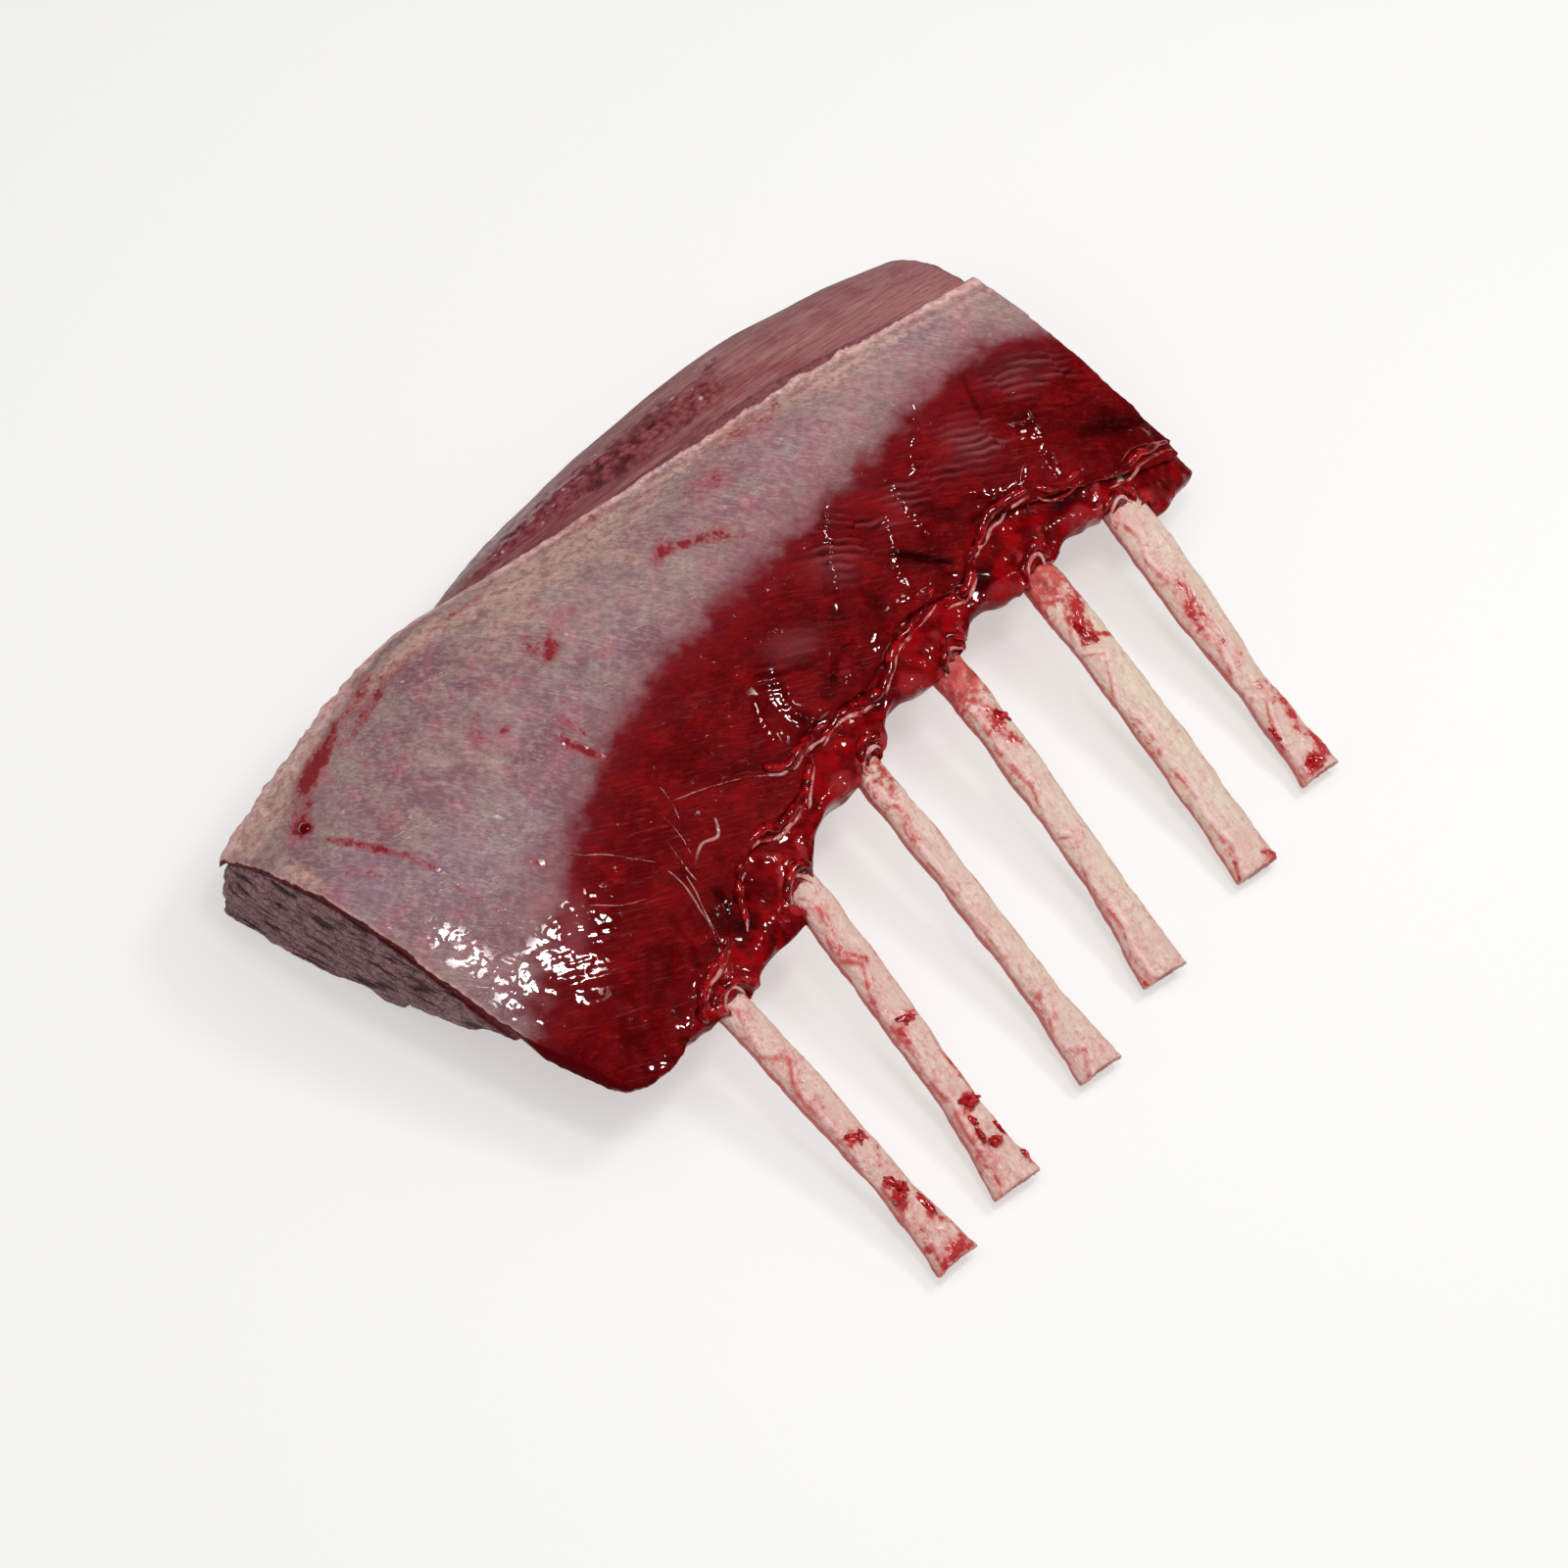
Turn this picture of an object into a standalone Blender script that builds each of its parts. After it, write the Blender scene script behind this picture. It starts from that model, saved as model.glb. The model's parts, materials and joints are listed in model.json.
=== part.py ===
"""Raw rack of goat with six cleaned ribs, lying with its outer side up.

The rack runs along X, from the loin end (left) to the shoulder end (right). The bare ribs
point to -Y and the back of the animal is at +Y. Sizes below are in millimetres; the
finished objects are in metres, centred over the origin, with their lowest point at z = 0.
"""
import bpy
import bmesh
import math
from mathutils import Matrix, Vector

MM = 0.001
COLLECTION_NAME = "raw_rack_of_goat"

# The whole rack
LOIN_END_X = -92.0
LENGTH = 175.0
END_SHEAR_LOIN = -0.04
END_SHEAR_SHOULDER = 0.05
SHEAR_FROM_Y = 20.0
LOIN_UNDERCUT = 2.2
UNDERCUT_SPAN = 0.14
UNDERCUT_HEIGHT = 30.0
STATIONS = 42
END_CROWDING = 0.05
GAP = 0.3

# Cross-sections from the loin end (place 0) to the shoulder end (place 1). Each row holds
# the foot of the back, then y and z of the ridge, the crest, the hip and the shoulder,
# and last the height of the lip where the outer layer ends over the ribs.
SECTIONS = (
    (0.00, 93.5, 93.8, 17.0, 60.0, 36.5, 40.0, 30.0, 24.0, 25.0, 20.5),
    (0.12, 94.5, 94.8, 21.5, 62.0, 38.0, 41.0, 33.0, 22.0, 28.0, 25.5),
    (0.30, 94.5, 93.3, 26.0, 62.0, 39.5, 42.0, 35.5, 25.0, 30.5, 27.0),
    (0.50, 93.5, 78.5, 32.0, 58.0, 39.0, 40.0, 36.5, 26.0, 31.5, 27.5),
    (0.75, 86.5, 65.5, 34.0, 50.0, 37.5, 36.0, 35.5, 23.0, 31.5, 27.5),
    (0.90, 77.0, 53.5, 34.5, 42.0, 35.5, 30.0, 33.5, 16.0, 30.0, 26.0),
    (1.00, 67.0, 46.0, 34.0, 38.0, 33.5, 26.0, 31.0, 11.0, 25.5, 18.0),
)
BULGE_OUT = 1.2
BULGE_UP = 0.45
BROW_ACROSS = 0.66
BROW_UP = 0.84
BROW_UP_BARE = 0.70
BARE_STRIP = 12.0
FOOT_ROUND = 1.2

# Points on the profile between one named height and the next, back to front
BACK_STEPS = (2, 3, 3)
COVER_STEPS = (6, 3, 4, 4)
TIP_STEP = 13

# Outer layer (silverskin and cap muscle): thickness at ridge, crest, hip, shoulder, lip
COVER_THICKNESS = (1.2, 1.5, 1.9, 2.4, 1.9)
LIP_ROUND = 0.45

# Edge of the outer layer over the ribs, x and y, and the edge of the rib layer below it
LIP = (
    (-92.0, 17.0), (-89.5, 11.0), (-86.0, 5.0), (-82.0, 1.6), (-76.0, -0.6), (-70.0, 0.4),
    (-64.0, 3.0), (-57.0, 3.0), (-49.0, 7.0), (-42.0, 10.5), (-36.0, 11.0), (-30.0, 10.5),
    (-24.0, 10.0), (-16.0, 13.5), (-5.0, 15.0), (3.0, 12.5), (10.0, 14.5), (19.0, 15.5),
    (26.0, 12.0), (31.0, 10.5), (38.0, 14.5), (46.0, 14.0), (56.0, 8.0), (66.0, 2.0),
    (75.0, -2.5), (83.0, -5.0),
)
RIB_LAYER_EDGE = (
    (-92.0, 14.5), (-89.0, 8.5), (-85.0, 2.5), (-80.0, -1.0), (-74.0, -3.0), (-63.0, -4.6),
    (-54.0, -2.4), (-48.0, -3.2), (-42.0, -3.8), (-36.0, -1.6), (-29.0, 4.0), (-21.0, 6.6),
    (-15.0, 6.0), (-9.0, 2.0), (0.0, 8.4), (9.0, 8.0), (16.0, 2.0), (24.0, 6.4),
    (34.0, 7.0), (42.0, -0.6), (50.0, 2.6), (57.0, 3.0), (64.0, -3.4), (70.0, -8.0),
    (76.0, -6.6), (83.0, -6.6),
)
LEDGE_LEAST = 1.2
LEDGE_HEIGHT = 6.0
LEDGE_THINNING = 0.45

# The arch of the rib cage: y and z of the middle of a rib, from its tip to its head
ARCH = (
    (-61.0, 2.75), (-30.0, 11.8), (-5.0, 18.6), (10.0, 20.6), (24.0, 18.9), (36.0, 13.9),
    (46.0, 6.4), (52.0, 1.5),
)
RIB_BELOW_LAYER = 1.5
ARCH_DROOP_LOIN = 4.5
ARCH_DROOP_SHOULDER = 5.5
DROOP_SPAN = 0.11
DROOP_FROM_Y = 36.0
DROOP_OVER_Y = 32.0
LAYER_END_Y = 52.0
LAYER_END_HEIGHT = 7.0
LAYER_THICKNESS = 6.2
LAYER_THICKNESS_LOIN_END = 3.2
TIP_THICKNESS = 0.9
SEAM_MARKS = (0.3, 0.65)
SEAM_STEPS = 4
FLOOR_STEPS = 8
LEDGE_STEPS = 3

# Ribs: x and y where each leaves the meat, x and y of its sawn tip, its width at the tip,
# the waist and the root, and how far its bare part bows towards +X
RIBS = (
    (-62.8, -3.0, -74.4, -59.5, 9.8, 6.4, 7.2, 0.3),
    (-36.3, 0.0, -56.0, -60.0, 11.0, 7.0, 7.4, 0.2),
    (-10.0, 4.0, -28.4, -59.5, 10.2, 6.4, 6.8, 0.2),
    (16.0, 4.0, -6.0, -58.5, 10.0, 7.2, 7.6, 1.0),
    (42.0, 1.0, 22.0, -60.5, 9.8, 8.8, 8.4, 0.7),
    (64.3, -2.0, 45.6, -59.0, 9.4, 6.8, 9.2, -0.6),
)
WAIST_FROM = 0.26
WAIST_TO = 0.42
ROOT_FROM = 0.66
RIB_THICKNESS = 5.0
RIB_HEAD_Y = 45.5
RIB_TURN = 25.0
RIB_RINGS = 18
RIB_SIDES = 10
RIB_WAVE = 0.3
RIB_WAVE_LENGTH = 20.0
RIB_WAVE_SHIFT = 1.7
RIB_SQUARENESS = 3.0
PATH_STEP = 0.5
CUTTER_START = 16.0

# Plain colours and roughness of the solids
LOIN_RED = (0.16, 0.045, 0.055)
LOIN_ROUGHNESS = 0.5
COVER_RED = (0.26, 0.035, 0.045)
LAYER_RED = (0.22, 0.012, 0.014)
WET_ROUGHNESS = 0.3
BONE_CREAM = (0.80, 0.60, 0.50)
BONE_ROUGHNESS = 0.4


def curve_at(rows, at):
    """The columns of a table at a place between its rows, on a smooth curve."""
    index = 0
    while index < len(rows) - 2 and at > rows[index + 1][0]:
        index += 1
    here = rows[index]
    there = rows[index + 1]
    before = rows[max(index - 1, 0)]
    after = rows[min(index + 2, len(rows) - 1)]
    span = there[0] - here[0]
    part = min(max((at - here[0]) / span, 0.0), 1.0)
    columns = []
    for column in range(1, len(here)):
        slope_here = span * (there[column] - before[column]) / (there[0] - before[0])
        slope_there = span * (after[column] - here[column]) / (after[0] - here[0])
        rise = there[column] - here[column]
        columns.append(
            here[column]
            + slope_here * part
            + (3 * rise - 2 * slope_here - slope_there) * part ** 2
            + (slope_here + slope_there - 2 * rise) * part ** 3
        )
    return columns


def ease(value):
    """Zero below 0, one above 1, and a smooth step between."""
    value = min(max(value, 0.0), 1.0)
    return value * value * (3 - 2 * value)


def spline(points, steps):
    """Points on a smooth curve through the given points, with steps in each stretch."""
    spans = [(after - before).length for before, after in zip(points, points[1:])]
    chords = [(after - before) / span for before, after, span in zip(points, points[1:], spans)]
    tangents = [chords[0]]
    for index in range(1, len(chords)):
        near = spans[index - 1]
        far = spans[index]
        tangents.append((chords[index - 1] * far + chords[index] * near) / (near + far))
    tangents.append(chords[-1])
    samples = [points[0]]
    for index, count in enumerate(steps):
        start = points[index]
        rise = points[index + 1] - start
        tangent_in = tangents[index] * spans[index]
        tangent_out = tangents[index + 1] * spans[index]
        for step in range(1, count + 1):
            part = step / count
            samples.append(
                start
                + tangent_in * part
                + (3 * rise - 2 * tangent_in - tangent_out) * part ** 2
                + (tangent_in + tangent_out - 2 * rise) * part ** 3
            )
    return samples


def inward(points, index):
    """The direction into the meat at a point of a profile that runs back to front."""
    before = points[max(index - 1, 0)]
    after = points[min(index + 1, len(points) - 1)]
    along = (after - before).normalized()
    return Vector((-along.y, along.x))


def placed(place, point):
    """A point of the cross-section at a place along the rack, in space."""
    shear = END_SHEAR_LOIN * (1 - place) + END_SHEAR_SHOULDER * place
    x = LOIN_END_X + LENGTH * place + shear * (point.x - SHEAR_FROM_Y)
    x += LOIN_UNDERCUT * ease(1 - place / UNDERCUT_SPAN) * (1 - point.y / UNDERCUT_HEIGHT)
    return Vector((x, point.x, point.y)) * MM


def arch_under(y, place):
    """Height of the underside of the rib layer."""
    middle = curve_at(ARCH, y)[0]
    droop = ARCH_DROOP_LOIN * ease(1 - place / DROOP_SPAN)
    droop += ARCH_DROOP_SHOULDER * ease(1 - (1 - place) / DROOP_SPAN)
    outwards = ease((DROOP_FROM_Y - y) / DROOP_OVER_Y)
    return max(middle - RIB_BELOW_LAYER - droop * outwards, 0.0)


class Section:
    """One cross-section of the meat: its outer profile and the seams under it."""

    def __init__(self, place):
        self.place = place
        x = LOIN_END_X + LENGTH * place
        foot, ridge_y, ridge_z, crest_y, crest_z, hip_y, hip_z, side_y, side_z, lip_z = (
            curve_at(SECTIONS, place)
        )
        lip_y = curve_at(LIP, x)[0]
        strip = ease((foot - ridge_y) / BARE_STRIP)
        brow_y = ridge_y + (foot - ridge_y) * BROW_ACROSS
        brow_z = ridge_z * (BROW_UP_BARE + (BROW_UP - BROW_UP_BARE) * strip)
        marks = [
            Vector((foot, FOOT_ROUND)),
            Vector((foot + BULGE_OUT * strip, brow_z * BULGE_UP)),
            Vector((brow_y, brow_z)),
            Vector((ridge_y, ridge_z)),
            Vector((crest_y, crest_z)),
            Vector((hip_y, hip_z)),
            Vector((side_y, side_z)),
            Vector((lip_y, lip_z)),
        ]
        self.outer = spline(marks, BACK_STEPS + COVER_STEPS)
        self.foot = foot
        self.edge_y = curve_at(RIB_LAYER_EDGE, x)[0]
        self.ridge_index = sum(BACK_STEPS)

    def cover_thickness(self, step):
        """Thickness of the outer layer at a step from the ridge."""
        rows = []
        reached = 0
        for index, count in enumerate((0,) + COVER_STEPS):
            reached += count
            rows.append((reached, COVER_THICKNESS[index]))
        return curve_at(rows, step)[0]

    def cover_under(self, step):
        """Underside of the outer layer at a step from the ridge."""
        index = self.ridge_index + step
        depth = self.cover_thickness(step)
        return self.outer[index] + inward(self.outer, index) * depth

    def below_cover(self, step):
        """Surface of the meat that the outer layer lies on."""
        index = self.ridge_index + step
        depth = self.cover_thickness(step) + GAP
        return self.outer[index] + inward(self.outer, index) * depth

    def cover(self):
        """Top and bottom of the outer layer."""
        last = sum(COVER_STEPS)
        top = [self.outer[self.ridge_index + step].copy() for step in range(last + 1)]
        bottom = [self.cover_under(step) for step in range(last + 1)]
        top[last] = top[last].lerp(bottom[last], LIP_ROUND / 2) + Vector((LIP_ROUND, 0.0))
        return top, bottom

    def seam(self):
        """The seam between the loin muscle and the rib layer, from back to front."""
        thickness = LAYER_THICKNESS_LOIN_END + (
            LAYER_THICKNESS - LAYER_THICKNESS_LOIN_END
        ) * ease(self.place / DROOP_SPAN)
        tip = self.below_cover(TIP_STEP) - Vector((0.0, TIP_THICKNESS))
        reach = LAYER_END_Y - tip.x
        marks = [Vector((LAYER_END_Y, LAYER_END_HEIGHT))]
        for part in SEAM_MARKS:
            y = LAYER_END_Y - reach * part
            marks.append(Vector((y, arch_under(y, self.place) + thickness)))
        marks.append(tip)
        return spline(marks, (SEAM_STEPS,) * (len(marks) - 1))

    def loin(self):
        """Top and bottom of the loin muscle."""
        top = []
        for index in range(self.ridge_index):
            sink = self.cover_thickness(0) + GAP
            sink *= (index / self.ridge_index) ** 3
            top.append(self.outer[index] + inward(self.outer, index) * sink)
        top += [self.below_cover(step) for step in range(TIP_STEP + 1)]
        start = self.foot - FOOT_ROUND
        bottom = []
        for step in range(FLOOR_STEPS + 1):
            y = start + (LAYER_END_Y + GAP - start) * step / FLOOR_STEPS
            bottom.append(Vector((y, 0.0)))
        seam = self.seam()
        seam[0] = seam[0] + Vector((GAP, 0.0))
        return top, bottom + seam

    def rib_layer(self):
        """Top and bottom of the layer of muscle between the ribs."""
        top = [point - Vector((0.0, GAP)) for point in self.seam()]
        last = sum(COVER_STEPS)
        for step in range(TIP_STEP + 1, last + 1):
            top.append(self.below_cover(step))
        start = top[-1]
        edge_y = min(self.edge_y, start.x - LEDGE_LEAST)
        end_z = arch_under(edge_y, self.place) + self.ledge_height()
        end = Vector((edge_y, min(end_z, start.y)))
        for step in range(1, LEDGE_STEPS + 1):
            top.append(start.lerp(end, step / LEDGE_STEPS))
        bottom = []
        for point in top:
            bottom.append(Vector((point.x, arch_under(point.x, self.place))))
        rounding = (start.x - edge_y) / LEDGE_STEPS / 2
        top[-1].y -= rounding
        bottom[-1].x += rounding
        return top, bottom

    def ledge_height(self):
        """Height of the rib layer at its bare edge, thinner towards both ends."""
        thin = ease(1 - self.place / DROOP_SPAN) + ease(1 - (1 - self.place) / DROOP_SPAN)
        return LEDGE_HEIGHT * (1 - LEDGE_THINNING * thin)


def stations():
    """Places along the rack, closer together near both ends."""
    places = []
    for step in range(STATIONS + 1):
        part = step / STATIONS
        places.append(part - END_CROWDING * math.sin(2 * math.pi * part))
    return places


def loft(name, rings):
    """A closed mesh through rings of points, with both ends filled across."""
    shape = bmesh.new()
    loops = [[shape.verts.new(point) for point in ring] for ring in rings]
    count = len(loops[0])
    for near, far in zip(loops, loops[1:]):
        for index in range(count):
            beside = (index + 1) % count
            shape.faces.new((near[index], near[beside], far[beside], far[index]))
    for loop in (loops[0][::-1], loops[-1]):
        for index in range(count // 2 - 1):
            across = count - 1 - index
            shape.faces.new((loop[index], loop[index + 1], loop[across - 1], loop[across]))
    if shape.calc_volume(signed=True) < 0:
        bmesh.ops.reverse_faces(shape, faces=shape.faces[:])
    mesh = bpy.data.meshes.new(name)
    shape.to_mesh(mesh)
    shape.free()
    for face in mesh.polygons:
        face.use_smooth = True
    return bpy.data.objects.new(name, mesh)


def meat_piece(name, halves):
    """A piece of meat from the tops and bottoms of its cross-sections."""
    rings = []
    for place, (top, bottom) in halves:
        rings.append([placed(place, point) for point in top + bottom[::-1]])
    return loft(name, rings)


def rib_path(rib, y):
    """Middle of a rib at a place across the rack."""
    root_x, root_y, tip_x, tip_y = rib[:4]
    bow = rib[-1]
    slant = (root_x - tip_x) / (root_y - tip_y)
    beyond = y - root_y
    if beyond > 0:
        x = root_x + slant * RIB_TURN * (1 - math.exp(-beyond / RIB_TURN))
    else:
        x = root_x + slant * beyond + bow * math.sin(math.pi * beyond / (tip_y - root_y))
    return Vector((x, y, curve_at(ARCH, y)[0]))


def rib_ring(rib, y, phase, room):
    """One ring of a rib: a squarish oval across its path."""
    root_y = rib[1]
    tip_y, tip_width, waist_width, root_width = rib[3:7]
    middle = rib_path(rib, y)
    along = (rib_path(rib, y + PATH_STEP) - rib_path(rib, y - PATH_STEP)).normalized()
    side = along.cross(Vector((0, 0, 1))).normalized()
    up = side.cross(along)
    widths = (
        (0.0, tip_width),
        (WAIST_FROM, waist_width),
        (WAIST_TO, waist_width),
        (ROOT_FROM, root_width),
        (1.0, root_width),
    )
    width = curve_at(widths, (y - tip_y) / (root_y - tip_y))[0]
    wave = RIB_WAVE * math.sin(2 * math.pi * (y - tip_y) / RIB_WAVE_LENGTH + phase)
    half_width = (width + wave) / 2 + room
    half_height = RIB_THICKNESS / 2 + room
    ring = []
    for index in range(RIB_SIDES):
        angle = 2 * math.pi * (index + 0.5) / RIB_SIDES
        cos = math.cos(angle)
        sin = math.sin(angle)
        across = math.copysign(abs(cos) ** (2 / RIB_SQUARENESS), cos) * half_width
        upward = math.copysign(abs(sin) ** (2 / RIB_SQUARENESS), sin) * half_height
        ring.append((middle + side * across + up * upward) * MM)
    return ring


def rib_piece(name, rib, phase, start_y, end_y, room):
    """A rib, or with room round it the cutter for its groove."""
    rings = []
    for step in range(RIB_RINGS + 1):
        y = start_y + (end_y - start_y) * step / RIB_RINGS
        rings.append(rib_ring(rib, y, phase, room))
    return loft(name, rings)


def material(name, colour, roughness):
    """A plain Principled material."""
    finish = bpy.data.materials.new(name)
    finish.use_nodes = True
    shader = finish.node_tree.nodes["Principled BSDF"]
    shader.inputs["Base Color"].default_value = (*colour, 1.0)
    shader.inputs["Roughness"].default_value = roughness
    shader.inputs["Metallic"].default_value = 0.0
    finish.diffuse_color = (*colour, 1.0)
    return finish


def add_to(collection, piece, finish):
    """Put a piece in a collection with its own material."""
    piece.data.materials.append(finish)
    collection.objects.link(piece)
    return piece


def centre_over_origin(pieces, helpers):
    """Move every mesh so that the pieces stand centred on z = 0."""
    corners = [vertex.co for piece in pieces for vertex in piece.data.vertices]
    low = Vector([min(corner[axis] for corner in corners) for axis in range(3)])
    high = Vector([max(corner[axis] for corner in corners) for axis in range(3)])
    middle = (low + high) / 2
    shift = Matrix.Translation((-middle.x, -middle.y, -low.z))
    for piece in pieces + helpers:
        piece.data.transform(shift)
    return middle, high - low


def build():
    """Make the nine pieces and the cutters for the rib grooves."""
    for item in list(bpy.data.objects):
        bpy.data.objects.remove(item)
    rack = bpy.data.collections.new(COLLECTION_NAME)
    cutters = bpy.data.collections.new("rib_cutters")
    bpy.context.scene.collection.children.link(rack)
    bpy.context.scene.collection.children.link(cutters)

    loin_red = material("loin_muscle_meat", LOIN_RED, LOIN_ROUGHNESS)
    cover_red = material("outer_layer_meat", COVER_RED, WET_ROUGHNESS)
    layer_red = material("rib_layer_meat", LAYER_RED, WET_ROUGHNESS)
    bone_cream = material("rib_bone", BONE_CREAM, BONE_ROUGHNESS)

    sections = [Section(place) for place in stations()]
    loin = meat_piece("loin_muscle", [(cut.place, cut.loin()) for cut in sections])
    cover = meat_piece("outer_layer", [(cut.place, cut.cover()) for cut in sections])
    layer = meat_piece("rib_layer", [(cut.place, cut.rib_layer()) for cut in sections])
    pieces = [
        add_to(rack, loin, loin_red),
        add_to(rack, cover, cover_red),
        add_to(rack, layer, layer_red),
    ]

    helpers = []
    for number, rib in enumerate(RIBS, start=1):
        phase = RIB_WAVE_SHIFT * number
        root_y = rib[1]
        tip_y = rib[3]
        bone = rib_piece(f"rib_{number}", rib, phase, tip_y, RIB_HEAD_Y, 0.0)
        pieces.append(add_to(rack, bone, bone_cream))
        start_y = root_y - CUTTER_START
        end_y = RIB_HEAD_Y + GAP
        cutter = rib_piece(f"cutter_{number}", rib, phase, start_y, end_y, GAP)
        cutter.display_type = "WIRE"
        cutter.hide_render = True
        cutters.objects.link(cutter)
        helpers.append(cutter)

    grooves = layer.modifiers.new("rib_grooves", "BOOLEAN")
    grooves.operation = "DIFFERENCE"
    grooves.solver = "EXACT"
    grooves.operand_type = "COLLECTION"
    grooves.collection = cutters
    middle, size = centre_over_origin(pieces, helpers)
    print("middle", tuple(round(v / MM, 2) for v in middle))
    print("size", tuple(round(v / MM, 2) for v in size))


build()
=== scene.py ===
# %% [markdown]
# # A raw rack of goat
# The rack is one joint of meat: a loin muscle along the back, a thin outer layer of
# silverskin and cap muscle over it, a layer of muscle between the ribs, and six ribs that
# are scraped clean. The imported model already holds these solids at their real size. Here
# each one gets its real surface. First the model is loaded as a fixed frame.

# %% Load the frame
import json
import math
import bpy
import bmesh
from mathutils import Matrix, Vector, noise
from mathutils.bvhtree import BVHTree

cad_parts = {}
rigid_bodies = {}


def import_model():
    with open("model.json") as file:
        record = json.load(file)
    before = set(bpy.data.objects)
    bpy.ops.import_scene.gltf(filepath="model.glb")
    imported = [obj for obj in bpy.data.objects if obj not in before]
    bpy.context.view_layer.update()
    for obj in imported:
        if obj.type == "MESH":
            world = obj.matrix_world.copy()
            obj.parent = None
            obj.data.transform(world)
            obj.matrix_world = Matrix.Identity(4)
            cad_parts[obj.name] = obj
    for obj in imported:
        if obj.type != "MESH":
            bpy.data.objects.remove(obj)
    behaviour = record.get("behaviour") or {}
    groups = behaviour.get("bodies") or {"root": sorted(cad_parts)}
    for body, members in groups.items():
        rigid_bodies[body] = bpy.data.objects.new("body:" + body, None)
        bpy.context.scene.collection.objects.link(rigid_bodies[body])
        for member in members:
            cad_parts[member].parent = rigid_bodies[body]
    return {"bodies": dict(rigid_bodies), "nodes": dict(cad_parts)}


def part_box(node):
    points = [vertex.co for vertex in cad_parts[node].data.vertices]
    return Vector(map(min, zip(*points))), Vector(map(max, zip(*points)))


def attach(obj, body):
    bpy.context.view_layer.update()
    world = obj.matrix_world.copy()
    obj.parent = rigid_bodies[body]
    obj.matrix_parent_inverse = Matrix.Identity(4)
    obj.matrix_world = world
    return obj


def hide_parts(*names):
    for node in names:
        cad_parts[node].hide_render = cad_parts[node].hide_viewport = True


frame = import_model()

MM = 0.001
for thing in list(bpy.data.objects):
    if thing not in list(frame["nodes"].values()) + list(frame["bodies"].values()):
        bpy.data.objects.remove(thing)
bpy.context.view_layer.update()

# %% [markdown]
# ## Camera
# The rack is seen from above its front left corner. A long lens from a metre away keeps
# the ribs nearly parallel. The camera's turn is built from its three axes, because that
# gives the roll directly.

# %% Camera
AIM = Vector((-13.4, 2.2, 15.0)) * MM
AZIMUTH = math.radians(-52.0)
ELEVATION = math.radians(62.0)
ROLL = math.radians(2.9)
CAMERA_DISTANCE = 1.112
LENS = 137.9
FARTHEST_SEEN = 20.0


def facing(azimuth, elevation):
    """The direction from the rack towards a camera or a light."""
    flat = math.cos(elevation)
    return Vector((math.sin(azimuth) * flat, -math.cos(azimuth) * flat, math.sin(elevation)))


def aimed(position, back, roll=0.0):
    """A placement at a position whose own Z axis points along back."""
    right = Vector((0, 0, 1)).cross(back).normalized()
    up = back.cross(right)
    turned_right = right * math.cos(roll) - up * math.sin(roll)
    turned_up = up * math.cos(roll) + right * math.sin(roll)
    turn = Matrix((turned_right, turned_up, back)).transposed().to_4x4()
    return Matrix.Translation(position) @ turn


view_back = facing(AZIMUTH, ELEVATION)
camera = bpy.data.objects.new("camera", bpy.data.cameras.new("camera"))
camera.data.lens = LENS
camera.data.clip_end = FARTHEST_SEEN
camera.matrix_world = aimed(AIM + view_back * CAMERA_DISTANCE, view_back, ROLL)
bpy.context.collection.objects.link(camera)
bpy.context.scene.camera = camera
print("camera at, m:", [round(value, 3) for value in camera.matrix_world.translation])

# %% [markdown]
# ## Light
# Wet meat shows its light sources. Large lamps give the even, shadowless look, and two small
# lamps give the sharp glints: one on the flap at the loin end, one among the wrinkles. If
# the large lamps could be seen in the wet surface, they would lay a grey veil over the deep
# reds, so they are hidden from glossy rays.

# %% Light
LAMPS = (
    # name, azimuth, elevation, distance, size, watts, seen in gloss
    ("key", -8.0, 80.0, 0.60, 0.085, 0.75, True),
    ("side_key", 55.0, 61.0, 0.60, 0.110, 0.95, True),
    ("overhead", -30.0, 82.0, 1.30, 1.30, 7.9, False),
    ("left_fill", -120.0, 38.0, 1.20, 1.10, 1.8, False),
    ("right_fill", 55.0, 35.0, 1.20, 1.10, 1.7, False),
)
WORLD_GREY = 0.80
WORLD_STRENGTH = 0.24


def lamp(name, azimuth, elevation, distance, size, watts, glossy):
    """A square lamp that faces the rack."""
    light = bpy.data.lights.new(name, "AREA")
    light.size = size
    light.energy = watts
    holder = bpy.data.objects.new(name, light)
    direction = facing(math.radians(azimuth), math.radians(elevation))
    holder.matrix_world = aimed(AIM + direction * distance, direction)
    holder.visible_glossy = glossy
    bpy.context.collection.objects.link(holder)


for row in LAMPS:
    lamp(*row)
world = bpy.data.worlds.new("studio")
world.use_nodes = True
world.node_tree.nodes["Background"].inputs["Color"].default_value = (WORLD_GREY,) * 3 + (1,)
world.node_tree.nodes["Background"].inputs["Strength"].default_value = WORLD_STRENGTH
world.cycles_visibility.glossy = False
bpy.context.scene.world = world
bpy.context.scene.view_settings.view_transform = "Standard"

print("lamps:", [row[0] for row in LAMPS])

# %% [markdown]
# ## The floor
# A sheet of pale paper takes the soft shadow. It glows a little, so that it stays as bright
# as studio paper while the lamps are set for the meat. It is stage, not part of the rack.

# %% The floor
FLOOR_SIZE = 6.0
FLOOR_GREY = (0.45, 0.448, 0.44, 1.0)
FLOOR_LIGHT = (1.0, 0.992, 0.975, 1.0)
FLOOR_GLOW = 0.48
PAPER_ROUGHNESS = 0.9
PAPER_SPECULAR = 0.1

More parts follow.
